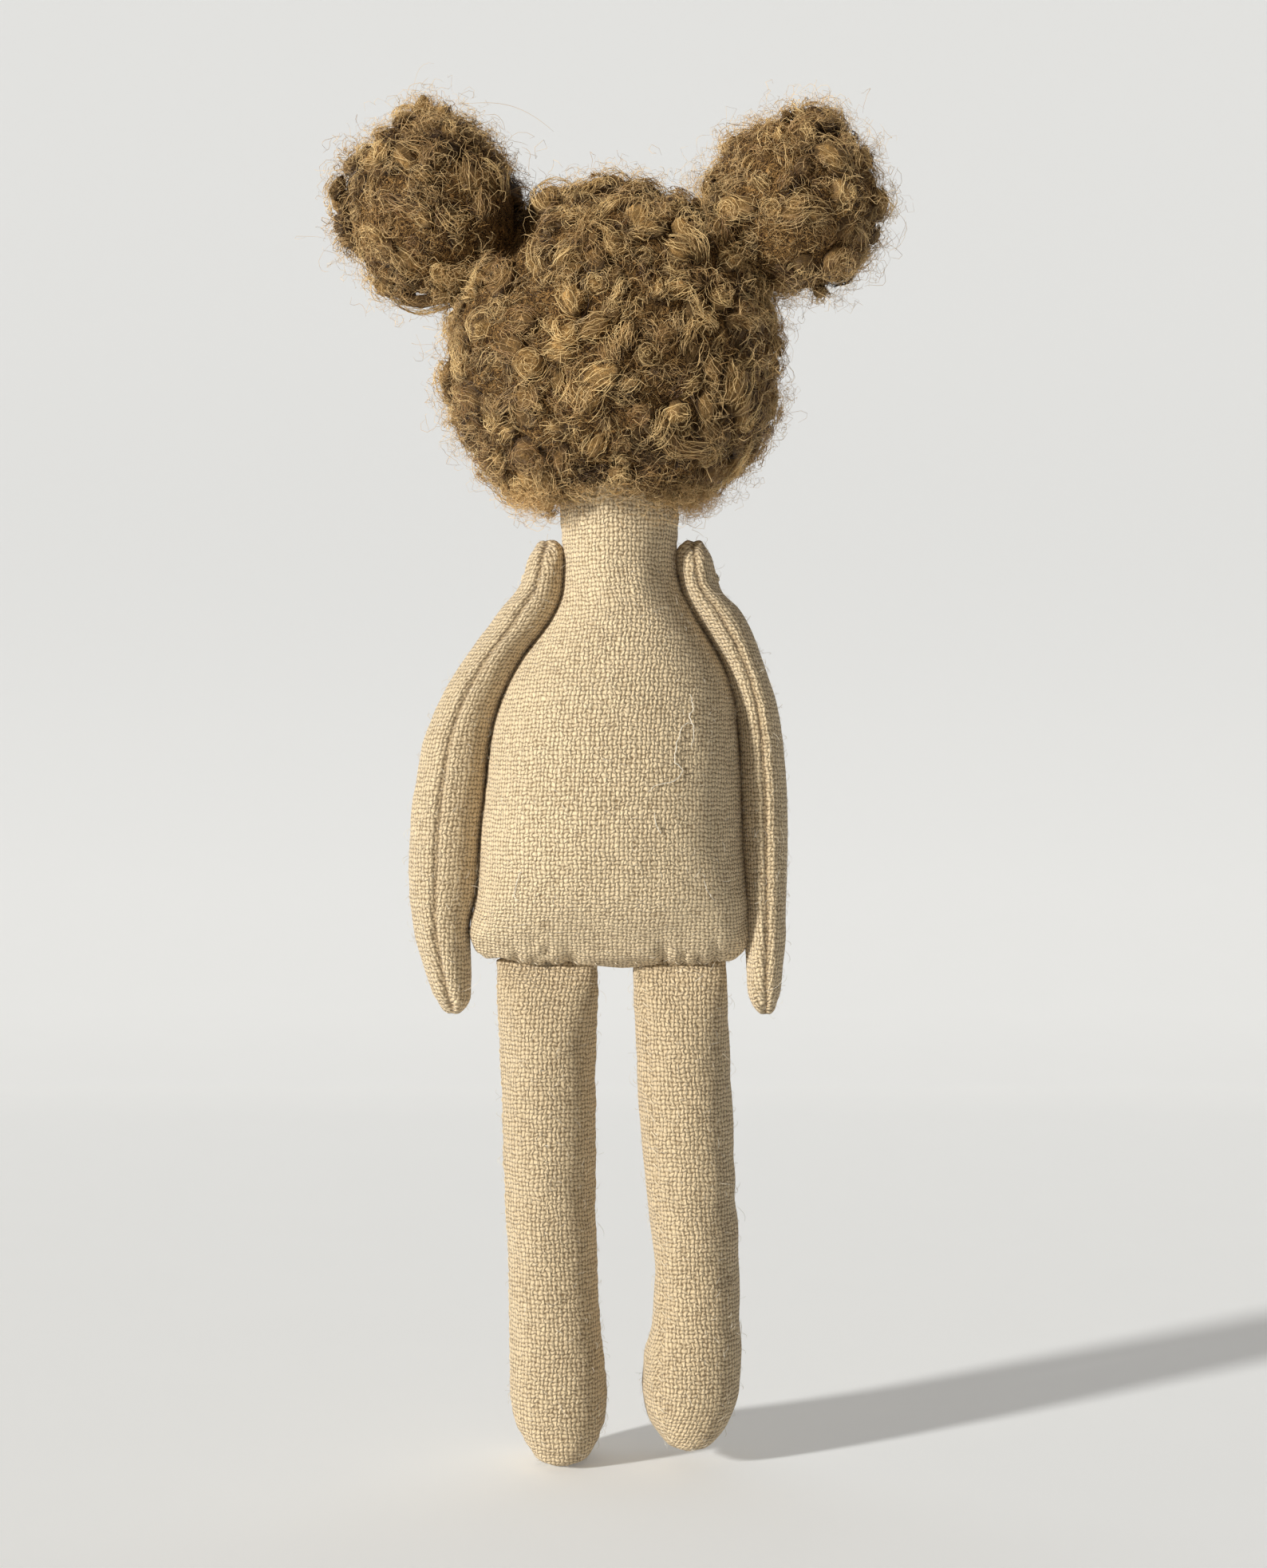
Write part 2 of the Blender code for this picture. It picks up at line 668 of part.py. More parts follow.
def leg_rings(side):
    top = hip_height() - HIP_ROLL_RADIUS - FIT_GAP
    sole = hip_height() - LEG_LENGTH[side]
    rings = []
    for share in LEG_RING_SHARES:
        half_width = LEG_HALF_WIDTH * smooth(LEG_WIDTH_SHARES, share)
        full = LEG_HALF_DEPTH * smooth(LEG_DEPTH_SHARES, share)
        depth = mix(LEG_TOP_HALF_DEPTH, full, smooth(TOP_FLATTENING_SHARES, share))
        toe = FOOT_REACH * smooth(TOE_SHARES, share)
        rings.append(ring(
            mix(sole, top, share), half_width, depth + toe, depth,
            centre_x=leg_top_x(side) + mix(LEG_LEAN[side], 0, share),
            turn=TOE_TURN[side] * smooth(TOE_SHARES, share),
            squareness=2 + HEM_SQUARENESS * (1 - smooth(TOP_FLATTENING_SHARES, share)),
        ))
    return rings


def flat_sole(rings):
    """The rings with a pole in the middle of the lowest one, which makes the sole a flat face."""
    middle = sum(rings[0], Vector()) / RING_POINTS
    return [[middle] * RING_POINTS] + rings


def build_hip_roll(side):
    """The leg's folded top edge: a roll round the hem thread, with a tongue down between the panels."""
    start = -math.pi / 2 + math.asin(HIP_TONGUE_HALF_DEPTH / HIP_ROLL_RADIUS)
    end = 3 * math.pi / 2 - math.asin(HIP_TONGUE_HALF_DEPTH / HIP_ROLL_RADIUS)
    outline = [Vector((HIP_TONGUE_HALF_DEPTH, -HIP_ROLL_RADIUS - HIP_TONGUE_LENGTH))]
    for k in range(HIP_ROLL_ARC_POINTS + 1):
        angle = mix(start, end, k / HIP_ROLL_ARC_POINTS)
        outline.append(Vector((math.cos(angle), math.sin(angle))) * HIP_ROLL_RADIUS)
    outline.append(Vector((-HIP_TONGUE_HALF_DEPTH, -HIP_ROLL_RADIUS - HIP_TONGUE_LENGTH)))
    rows = [[Vector((x, y, z)) for y, z in outline] for x in (-HIP_ROLL_HALF_WIDTH, HIP_ROLL_HALF_WIDTH)]
    roll = closed_form(f"{side}_leg_top_roll", rows, LINEN)
    roll.location = (leg_top_x(side), 0, hip_height())
    return roll


def build_leg(side):
    pivot = place_empty(f"{side}_hip", (leg_top_x(side), 0, hip_height()))
    return hang(pivot, lambda: build_leg_pieces(side))


def build_leg_pieces(side):
    rings = leg_rings(side)
    names = (f"{side}_leg_back_panel", f"{side}_leg_front_panel")
    panels(f"{side}_leg", flat_sole(rings), LEG_SEAM_TURN[side], names)
    filling(f"{side}_leg_filling", rings[:LEG_FILLED_RINGS])
    return build_hip_roll(side)


def build_hem_thread(rolls):
    """The thread that closes the hem: through the top of one leg, up between the panels, and on
    through the top of the other leg, with a knot's length left at each end."""
    height = hip_height()
    tucked = -HEM_DROP + HIP_TONGUE_LENGTH
    inner_left = leg_top_x("left") - HIP_ROLL_HALF_WIDTH
    inner_right = leg_top_x("right") + HIP_ROLL_HALF_WIDTH
    middle = (inner_left + inner_right) / 2
    reach = (inner_left - inner_right) / 4
    line = [
        Vector((leg_top_x("right") - HIP_ROLL_HALF_WIDTH - STITCH_RADIUS * 4, 0, height)),
        Vector((inner_right, 0, height)),
        Vector((middle - reach, 0, height)),
        Vector((middle - reach / 2, 0, tucked)),
        Vector((middle + reach / 2, 0, tucked)),
        Vector((middle + reach, 0, height)),
        Vector((inner_left, 0, height)),
        Vector((leg_top_x("left") + HIP_ROLL_HALF_WIDTH + STITCH_RADIUS * 4, 0, height)),
    ]
    tube_object("hem_thread", line, STITCH_RADIUS, THREAD)
    bore = STITCH_RADIUS + FIT_GAP
    ends = (line[0].x - CUT_OVERRUN, line[-1].x + CUT_OVERRUN)
    rings = [ring(place, bore, bore, bore, turn=HALF_STEP) for place in ends]
    bar = closed_form("hem_thread_cutter", rings, THREAD)
    lay_across(bar, height)
    hide_as_cutter(bar)
    for roll in rolls:
        cut(roll, bar)


def build_neck_stitches():
    """Ladder stitches round the neck, just under the edge of the head."""
    out = FIT_GAP + STITCH_RADIUS
    line = []
    for k in range(NECK_WAVES * WAVE_POINTS):
        angle = 2 * math.pi * k / (NECK_WAVES * WAVE_POINTS)
        height = head_rim() - out - NECK_WAVE * (1 + math.sin(2 * math.pi * k / WAVE_POINTS))
        line.append(Vector((
            (body_half_width(height) + out) * math.cos(angle),
            (body_half_depth(height) + out) * math.sin(angle),
            height,
        )))
    tube_object("neck_stitches", line, STITCH_RADIUS, THREAD, closed=True)


def main():
    clear_scene()
    thread_cutter = shoulder_thread_cutter()
    build_body(thread_cutter)
    build_head()
    build_neck_stitches()
    build_face()
    build_hair_cap()
    build_hairline_stitches()
    cutter = hair_cutter()
    for side in ("left", "right"):
        build_bun(side, cutter)
        build_arm(side, thread_cutter)
    build_shoulder_thread()
    build_hem_thread([build_leg(side) for side in ("left", "right")])


main()
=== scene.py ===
"""The looks of a small hand-sewn cloth doll with curly wool hair in two buns, seen from the back.

Metres, +Z up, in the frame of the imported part. The doll faces -Y and its left side is at +X.
Tables of outlines are in millimetres, with heights measured from the waist.
"""

import math

import bpy
import numpy as np
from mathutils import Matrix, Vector, noise
from mathutils.bvhtree import BVHTree


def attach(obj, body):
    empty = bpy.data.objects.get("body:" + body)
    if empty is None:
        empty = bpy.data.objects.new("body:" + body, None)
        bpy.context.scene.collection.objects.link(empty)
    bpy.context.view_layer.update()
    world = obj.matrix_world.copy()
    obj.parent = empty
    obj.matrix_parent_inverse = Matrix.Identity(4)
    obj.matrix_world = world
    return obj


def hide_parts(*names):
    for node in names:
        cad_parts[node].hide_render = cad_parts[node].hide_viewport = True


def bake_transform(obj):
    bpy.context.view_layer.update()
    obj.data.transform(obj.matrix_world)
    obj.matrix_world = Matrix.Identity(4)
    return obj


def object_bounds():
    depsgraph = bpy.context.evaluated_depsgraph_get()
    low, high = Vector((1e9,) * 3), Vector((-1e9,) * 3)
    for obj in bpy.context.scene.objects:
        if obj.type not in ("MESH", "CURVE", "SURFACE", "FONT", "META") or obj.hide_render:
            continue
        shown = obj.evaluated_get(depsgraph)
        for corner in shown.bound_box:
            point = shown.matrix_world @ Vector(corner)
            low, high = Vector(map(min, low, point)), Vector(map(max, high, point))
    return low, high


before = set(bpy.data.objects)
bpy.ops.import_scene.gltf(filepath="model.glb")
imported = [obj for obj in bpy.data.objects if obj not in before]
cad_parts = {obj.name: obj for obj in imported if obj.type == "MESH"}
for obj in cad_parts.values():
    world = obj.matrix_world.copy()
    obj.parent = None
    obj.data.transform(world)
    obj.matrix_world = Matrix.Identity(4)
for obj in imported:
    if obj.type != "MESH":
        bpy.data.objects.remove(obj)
cad_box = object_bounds()

MM = 0.001
THREAD_PITCH = 0.53
UP = np.array((0.0, 0.0, 1.0))


# Finishes


class Wire:
    """What a shader node gives. A sum written with it adds the Math nodes that work it out."""

    def __init__(self, node, socket=None):
        self.node = node
        self.socket = socket or node.outputs[0]

    def __getitem__(self, name):
        return Wire(self.node, self.node.outputs[name])

    def math(self, operation, *others):
        inputs = dict(enumerate((self, *others)))
        return add_node(self.node.id_data, "ShaderNodeMath", {"operation": operation}, inputs)

    def __add__(self, other):
        return self.math("ADD", other)

    def __mul__(self, other):
        return self.math("MULTIPLY", other)

    __radd__ = __add__
    __rmul__ = __mul__

    def __sub__(self, other):
        return self.math("SUBTRACT", other)

    def __rsub__(self, other):
        return self * -1 + other

    def __pow__(self, other):
        return self.math("POWER", other)

    def __abs__(self):
        return self.math("ABSOLUTE")

    def between(self, low, high):
        """0 below low and 1 above high, with a soft step."""
        settings = {"interpolation_type": "SMOOTHSTEP"}
        inputs = {"Value": self, "From Min": low, "From Max": high}
        return add_node(self.node.id_data, "ShaderNodeMapRange", settings, inputs)


def add_node(tree, kind, settings=None, inputs=None):
    node = tree.nodes.new(kind)
    for name, value in (settings or {}).items():
        setattr(node, name, value)
    for name, value in (inputs or {}).items():
        if isinstance(value, Wire):
            tree.links.new(value.socket, node.inputs[name])
        else:
            node.inputs[name].default_value = value
    return Wire(node)


def mix(tree, share, low, high):
    """A colour from low to high, each one a colour or what a node gives."""
    low, high = (value if isinstance(value, Wire) else (*value, 1.0) for value in (low, high))
    return add_node(tree, "ShaderNodeMix", {"data_type": "RGBA"}, {0: share, 6: low, 7: high})[2]


SHADER_WORDS = {
    "roughness": "Roughness",
    "specular": "Specular IOR Level",
    "sheen_weight": "Sheen Weight",
    "sheen_roughness": "Sheen Roughness",
    "glow": "Emission Strength",
}


class Finish:
    """A material with one shader. Numbers that are the same all over it are set on the shader itself."""

    def __init__(self, name, **shader):
        self.material = bpy.data.materials.new(name)
        self.material.use_nodes = True
        self.tree = self.material.node_tree
        self.shader = self.tree.nodes["Principled BSDF"]
        for word, value in shader.items():
            self.shader.inputs[SHADER_WORDS[word]].default_value = value

    def node(self, kind, settings=None, inputs=None):
        return add_node(self.tree, kind, settings, inputs)

    def mixed(self, share, low, high):
        return mix(self.tree, share, low, high)

    def noise(self, where, scale, detail=2.0, roughness=0.5):
        inputs = {"Vector": where, "Scale": scale, "Detail": detail, "Roughness": roughness}
        return self.node("ShaderNodeTexNoise", {}, inputs)

    def apart(self, wire):
        return self.node("ShaderNodeSeparateColor", {}, {"Color": wire["Color"]})

    def place(self, x, y, z=0.0):
        return self.node("ShaderNodeCombineXYZ", {}, {"X": x, "Y": y, "Z": z})

    def object_place(self):
        return self.node("ShaderNodeTexCoord")["Object"]

    def carried(self, name):
        """A number that the mesh carries at each of its points."""
        return self.node("ShaderNodeAttribute", {"attribute_name": name})["Fac"]

    def give(self, name, wire):
        self.tree.links.new(wire.socket, self.shader.inputs[name])

    def relief(self, height, depth):
        inputs = {"Height": height, "Distance": depth, "Strength": 1.0}
        self.give("Normal", self.node("ShaderNodeBump", {}, inputs))


def linen_finish():
    """Plain-woven linen. The weave follows the cloth, laid out flat in millimetres."""
    cloth = Finish("linen_cloth", roughness=0.9, sheen_weight=0.2, sheen_roughness=0.6, specular=0.2)
    flat = cloth.node("ShaderNodeUVMap", {"uv_map": "weave"})
    spot = cloth.node("ShaderNodeSeparateXYZ", {}, {"Vector": flat})
    across, along = spot["X"], spot["Y"]
    wander = cloth.apart(cloth.noise(flat, 0.5, 2.0))
    tremble = cloth.apart(cloth.noise(flat, 1.9, 1.0))
    warp_place = (across + wander["Red"] * 0.7 + tremble["Red"] * 0.5) * (1 / THREAD_PITCH)
    weft_place = (along + wander["Green"] * 0.7 + tremble["Green"] * 0.44) * (1 / THREAD_PITCH)
    warp_row, weft_row = warp_place.math("FLOOR"), weft_place.math("FLOOR")
    warp_turn = (warp_place * math.pi).math("SINE")
    weft_turn = (weft_place * math.pi).math("SINE")
    over = warp_turn * weft_turn
    thick = cloth.noise(cloth.place(warp_row * 3.7, along * 0.5), 1.0, 2.0)
    thick_weft = cloth.noise(cloth.place(across * 0.5, weft_row * 3.7 + 40.0), 1.0, 2.0)
    each = cloth.apart(cloth.node("ShaderNodeTexWhiteNoise", {}, {"Vector": cloth.place(warp_row, weft_row)}))
    warp = abs(warp_turn) ** 0.7 * (over * 0.45 + 0.52) * (thick * 1.1 + 0.28 + each["Red"] * 0.42)
    weft = abs(weft_turn) ** 0.7 * (over * -0.45 + 0.55) * (thick_weft * 1.1 + 0.28 + each["Green"] * 0.42)
    height = warp.math("MAXIMUM", weft)
    fibres = cloth.noise(cloth.place(across * 11.0, along * 11.0), 1.0, 3.0, 0.7)
    patches = cloth.noise(flat, 0.18, 3.0)
    pits = height.between(0.08, 0.78)
    tone = pits * (fibres * 0.3 + 0.85) * (patches * 0.3 + 0.85) * (thick * 0.3 + thick_weft * 0.3 + 0.72)
    open_cloth = cloth.mixed(tone, (0.22, 0.14, 0.06), (0.94, 0.752, 0.478))
    # Painted shade: a darker linen, mixed in by the drawn attribute in the seam grooves and over the arms and legs.
    painted_shade_cloth = cloth.mixed(tone, (0.12, 0.07, 0.03), (0.52, 0.38, 0.21))
    cloth.give("Base Color", cloth.mixed(cloth.carried("drawn"), open_cloth, painted_shade_cloth))
    cloth.give("Roughness", 0.96 - pits * 0.12)
    cloth.relief(height + fibres * 0.4, 0.00027)
    return cloth.material


def wool_finish():
    """Carded wool: soft, with fibres that run every way."""
    wool = Finish("wool_filling", roughness=1.0, sheen_weight=0.4, sheen_roughness=0.5, specular=0.1)
    place = wool.object_place()
    strands = wool.noise(place, 2600.0, 4.0, 0.7)
    lumps = wool.noise(place, 420.0, 2.0)
    wool.give("Base Color", wool.mixed(strands * 0.6 + lumps * 0.4, (0.55, 0.5, 0.42), (0.85, 0.81, 0.73)))
    wool.relief(strands + lumps, 0.0005)
    return wool.material


def matted_finish():
    """Matted hair between the locks: a net of crinkled hairs, the hair's own, over a near-black ground that is
    painted shade for the gaps between the locks.
    """
    mat = Finish("matted_hair", roughness=0.8, specular=0.2)
    place = mat.object_place()
    push = {0: mat.noise(place, 700.0, 2.0)["Color"], 1: (0.003, 0.003, 0.003), 2: place}
    bent = mat.node("ShaderNodeVectorMath", {"operation": "MULTIPLY_ADD"}, push)
    hairs = 1 - abs(mat.noise(bent, 1900.0, 1.0) - 0.5) * 9
    more = 1 - abs(mat.noise(bent, 3100.0, 1.0) - 0.47) * 8
    net = hairs.math("MAXIMUM", more).between(0.0, 1.0)
    lumps = mat.noise(place, 420.0, 2.0)
    light = net * 0.6 + mat.noise(place, 5200.0, 2.0) * 0.3 + lumps * 0.3
    # the dark end is painted shade, the light end the hair of the net
    mat.give("Base Color", mat.mixed(light.between(0.25, 1.0), (0.035, 0.013, 0.003), (0.42, 0.235, 0.08)))
    mat.relief(net + lumps, 0.0005)
    return mat.material


def hair_finish(name, painted_depth_shade, dark, light, shine):
    """Curled mohair. Each strand carries its own tone, and a painted shade darkens it where its depth is low, deep
    among the locks.
    """
    hair = Finish(name, roughness=0.4, specular=shine)
    tone = hair.carried("tone")
    mottle = hair.noise(hair.object_place(), 260.0, 2.0)
    strand = hair.mixed((tone * 0.75 + mottle * 0.5).between(0.12, 0.98), dark, light)
    # painted shade by depth, stronger the lower a point lies
    hair.give("Base Color", hair.mixed(hair.carried("depth"), painted_depth_shade, strand))
    hair.give("Roughness", tone * 0.2 + 0.4)
    return hair.material


def lock_finish():
    """The felted inside of a curled lock, streaked along its strands."""
    lock = Finish("mohair_locks", roughness=0.55, specular=0.4)
    across, along, tone = lock.carried("across"), lock.carried("along"), lock.carried("tone")
    streaks = lock.noise(lock.place(across * 15.0, along * 1.8, tone * 50.0), 1.0, 3.0, 0.65)
    mottle = lock.noise(lock.object_place(), 900.0, 3.0, 0.6)
    light = (streaks * 0.8 + mottle * 0.35 + tone * 0.25).between(0.35, 1.05)
    strand = lock.mixed(light, (0.07, 0.025, 0.005), (0.82, 0.49, 0.165))
    # painted shade: the lump turns near-black where its depth is low
    lock.give("Base Color", lock.mixed(lock.carried("depth"), (0.026, 0.01, 0.003), strand))
    lock.relief(streaks + mottle * 0.6, 0.0004)
    return lock.material


def thread_finish(name, dark, light, gloss):
    """Sewing thread, with its fine fibres."""
    thread = Finish(name, roughness=gloss, sheen_weight=0.2, specular=0.4)
    fibres = thread.noise(thread.object_place(), 9000.0, 3.0, 0.6)
    thread.give("Base Color", thread.mixed(fibres, dark, light))
    thread.relief(fibres, 0.00002)
    return thread.material


def paper_finish():
    paper = Finish("pale_backdrop", roughness=0.95, specular=0.1, glow=0.12)
    place = paper.object_place()
    height = paper.node("ShaderNodeSeparateXYZ", {}, {"Vector": place})["Z"]
    floor = paper.mixed(paper.noise(place, 60.0, 3.0), (0.87, 0.89, 0.9), (0.89, 0.91, 0.92))
    upwards = height.between(cad_box[0].z, 0.12) ** 0.25
    paper.give("Base Color", paper.mixed(upwards, floor, (0.585, 0.6, 0.61)))
    return paper.material


LINEN = linen_finish()
LINEN_FUZZ = hair_finish("linen_fuzz", (0.62, 0.5, 0.33), (0.6, 0.48, 0.31), (0.96, 0.9, 0.76), 0.4)
WOOL = wool_finish()
HAIR_MAT = matted_finish()
# the first colour is the painted shade for strands deep among the locks
HAIR = hair_finish("mohair_curls", (0.035, 0.012, 0.002), (0.22, 0.09, 0.019), (1.0, 0.72, 0.33), 0.55)
LOCKS = lock_finish()
FRIZZ = hair_finish("mohair_frizz", (0.4, 0.2, 0.06), (0.54, 0.305, 0.098), (1.0, 0.71, 0.345), 0.55)
SEWING = thread_finish("sewing_thread", (0.5, 0.39, 0.24), (0.9, 0.78, 0.56), 0.6)
EYES = thread_finish("eye_thread", (0.02, 0.012, 0.01), (0.09, 0.055, 0.04), 0.5)
MOUTH = thread_finish("mouth_thread", (0.3, 0.07, 0.055), (0.55, 0.19, 0.16), 0.55)


# Meshes


def unit(vectors):
    return vectors / np.maximum(np.linalg.norm(vectors, axis=-1, keepdims=True), 1e-12)


def ball(polar, turn):
    """Ways out from a middle, from the angle from +Z and the turn about it from +X."""
    polar, turn = np.broadcast_arrays(polar, turn)
    return np.stack((np.sin(polar) * np.cos(turn), np.sin(polar) * np.sin(turn), np.cos(polar)), -1)


def walked(points, axis=0):
    """How far along its row or column each point of a line or grid lies."""
    steps = np.linalg.norm(np.diff(points, axis=axis), axis=-1)
    return np.insert(np.cumsum(steps, axis=axis), 0, 0, axis=axis)


def bumps(points, scale, offset=(0, 0, 0)):
    """Smooth chance values from -1 to 1 at each point."""
    return np.array([noise.noise(Vector(p) * scale + Vector(offset)) for p in points])


def curve_through(pairs):
    """A smooth curve with no overshoot through (place, value) pairs, as a function of place."""
    place, value = (np.array(side, float) for side in zip(*sorted(pairs)))
    step = np.diff(place)
    rise = np.diff(value) / step
    slope = np.zeros(len(place))
    slope[0], slope[-1] = rise[0], rise[-1]
    together = rise[:-1] * rise[1:]
    total = np.where(together > 0, rise[:-1] + rise[1:], 1.0)
    slope[1:-1] = np.where(together > 0, 2 * together / total, 0.0)

    def at(where):
        where = np.clip(where, place[0], place[-1])
        k = np.clip(np.searchsorted(place, where, "right") - 1, 0, len(step) - 1)
        t = (where - place[k]) / step[k]
        start = value[k] * (1 + 2 * t) * (1 - t) ** 2 + slope[k] * step[k] * t * (1 - t) ** 2
        return start + value[k + 1] * t * t * (3 - 2 * t) + slope[k + 1] * step[k] * t * t * (t - 1)

    return at


def read_points(obj, word="co"):
    points = np.empty(len(obj.data.vertices) * 3)
    obj.data.vertices.foreach_get(word, points)
    return points.reshape(-1, 3)


def write_points(obj, points):
    obj.data.vertices.foreach_set("co", np.ascontiguousarray(points, float).ravel())
    obj.data.update()


def push_out(obj, distance):
    """Moves each point along its normal, by its distance in millimetres."""
    write_points(obj, read_points(obj) + read_points(obj, "normal") * distance[:, None] * MM)


def carry(obj, name, values):
    found = obj.data.attributes.get(name) or obj.data.attributes.new(name, "FLOAT", "POINT")
    found.data.foreach_set("value", np.ascontiguousarray(values, np.float32))


def carried(obj, name):
    values = np.empty(len(obj.data.vertices), np.float32)
    obj.data.attributes[name].data.foreach_get("value", values)
    return values


def only(obj):
    bpy.ops.object.select_all(action="DESELECT")
    obj.select_set(True)
    bpy.context.view_layer.objects.active = obj


def close_up(obj, threshold=0.00001):
    """Joins the points that meet, and turns every face outwards."""
    only(obj)
    bpy.ops.object.mode_set(mode="EDIT")
    bpy.ops.mesh.select_all(action="SELECT")
    bpy.ops.mesh.remove_doubles(threshold=threshold)
    bpy.ops.mesh.normals_make_consistent(inside=False)
    bpy.ops.object.mode_set(mode="OBJECT")
    bpy.ops.object.shade_smooth()


def apply(obj, modifier):
    only(obj)
    bpy.ops.object.modifier_apply(modifier=modifier.name)


def renamed(name):
    """The object that was just added, under its name."""
    obj = bpy.context.object
    obj.name = obj.data.name = name
    return obj


def new_grid(name, columns, rows):
    bpy.ops.mesh.primitive_grid_add(x_subdivisions=columns, y_subdivisions=rows, size=1)
    return renamed(name)


def linked(name, data):
    obj = bpy.data.objects.new(name, data)
    bpy.context.scene.collection.objects.link(obj)
    return obj


def ring_mesh(name, rings, capped=True):
    """Closed lumps or tubes from their rings of points: tubes x rings x points round x 3."""
    count, long, sides = rings.shape[:3]
    first = np.arange(count)[:, None, None] * long * sides
    low = first + np.arange(long - 1)[:, None] * sides
    here = np.arange(sides)
    following = (here + 1) % sides
    corners = (low + here, low + following, low + sides + following, low + sides + here)
    quads = np.stack(corners, -1).reshape(-1, 4)
    fans = first + np.arange(1, sides - 1)[:, None] * (0, 1, 1)
    caps = np.concatenate((fans + (0, 1, 0), fans + (long - 1) * sides + (0, 0, 1))).reshape(-1, 3)
    caps = caps if capped else caps[:0]
    starts = np.concatenate((np.arange(len(quads)) * 4, quads.size + np.arange(len(caps)) * 3))
    corners = np.concatenate((quads.ravel(), caps.ravel()))
    mesh = bpy.data.meshes.new(name)
    mesh.vertices.add(rings.size // 3)
    mesh.vertices.foreach_set("co", rings.ravel())
    mesh.loops.add(len(corners))
    mesh.loops.foreach_set("vertex_index", corners.astype(np.int32))
    mesh.polygons.add(len(starts))
    mesh.polygons.foreach_set("loop_start", starts.astype(np.int32))
    mesh.update(calc_edges=True)
    mesh.validate()
    mesh.shade_smooth()
    return linked(name, mesh)


def tubes(name, lines, radius, sides, steady):
    """Round tubes along lines of points: tubes x points x 3. The first side turns towards steady."""
    along = unit(np.gradient(lines, axis=1))
    aside = unit(np.cross(along, np.array(steady)))
    third = np.cross(along, aside)
    wide = np.broadcast_to(radius, lines.shape[:2])[..., None]
    angles = [2 * math.pi * side / sides for side in range(sides)]
    rings = [lines + wide * (math.cos(a) * aside + math.sin(a) * third) for a in angles]
    return ring_mesh(name, np.stack(rings, 2))


def dressed(obj, finish, nodes=(), body="torso"):
    """Gives a piece its material and slot, and hides the solids it stands for. A piece given one body rides it; a
    piece given the two it joins stays fixed in place.
    """
    obj.data.materials.clear()
    obj.data.materials.append(finish)
    if nodes:
        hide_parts(*nodes)
    if isinstance(body, str):
        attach(obj, body)
    else:
        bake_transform(obj)
    return obj


# Stuffed cloth


def signed_power(value, power):
    return np.sign(value) * np.abs(value) ** power


def tube_form(left, right, back, front, ends, closing, squareness=((0, 2), (1, 2)), turn=((0, 0), (1, 0))):
    """A place(angle, share) for a stuffed tube between two heights. Left and right are its outline
    from the back, and each end closes over a short length."""
    bottom, top = ends
    tables = (left, right, back, front, squareness, turn)
    left, right, back, front, squareness, turn = map(curve_through, tables)

    def place(angle, share):
        eased = share - 0.82 * np.sin(2 * math.pi * share) / (2 * math.pi)
        z = bottom + (top - bottom) * eased
        near = np.minimum((z - bottom) / closing[0], (top - z) / closing[1])
        full = np.sqrt(np.clip(1 - (1 - np.clip(near, 0, 1)) ** 2, 0, 1))
        power = 2 / squareness(z)
        across = signed_power(np.cos(angle), power) * full * (left(z) - right(z)) / 2
        along = signed_power(np.sin(angle), power) * full
        along = along * np.where(along > 0, back(z), front(z))
        bend = np.radians(turn(z))
        x = (left(z) + right(z)) / 2 + across * np.cos(bend) - along * np.sin(bend)
        y = across * np.sin(bend) + along * np.cos(bend)
        return np.stack((x, y, z), -1) * MM

    return place


def wrap_cloth(name, place, columns, rows, seam):
    """Cloth laid round a form and sewn along two seams, the first at an angle from +X towards +Y.
    The mesh carries the flat place of its threads, and how far each point is from a seam."""
    cloth = new_grid(name, columns, rows)
    grid = read_points(cloth)
    column = np.rint((grid[:, 0] + 0.5) * columns).astype(int)
    row = np.rint((grid[:, 1] + 0.5) * rows).astype(int)
    turn, share = np.meshgrid(np.arange(columns + 1) / columns, np.arange(rows + 1) / rows)
    laid = place(2 * math.pi * turn + math.radians(seam), share)
    write_points(cloth, laid[row, column])
    arc, climb = walked(laid, 1) / MM, walked(laid) / MM
    half = columns // 2
    to_seam = np.minimum(np.abs(arc - arc[:, [half]]), np.minimum(arc, arc[:, [-1]] - arc))
    carry(cloth, "seam", to_seam[row, column])
    carry(cloth, "climb", climb[row, column])

    mesh = cloth.data
    corners = np.empty(len(mesh.loops), int)
    mesh.loops.foreach_get("vertex_index", corners)
    corners = corners.reshape(-1, 4)
    first_panel = (column[corners].mean(1) < half)[:, None]
    middle = np.where(first_panel, columns // 4, 3 * columns // 4)
    flat_x = arc[row[corners], column[corners]] - arc[row[corners], middle]
    flat_y = climb[row[corners], np.broadcast_to(middle, corners.shape)]
    layer = mesh.uv_layers.active
    layer.name = "weave"
    layer.data.foreach_set("uv", np.stack((flat_x, flat_y), -1).ravel())
    close_up(cloth)
    return cloth


SIM_SCALE = 10
SIM_STEPS = 20
CLOTH_SETTINGS = {
    "quality": 6,
    "mass": 0.2,
    "tension_stiffness": 30,
    "compression_stiffness": 30,
    "bending_stiffness": 0.6,
    "use_pressure": True,
    "uniform_pressure_force": 5.0,
    "vertex_group_mass": "hold",
    "vertex_group_shrink": "pull",
    "shrink_min": 0.0,
    "shrink_max": 0.05,
}


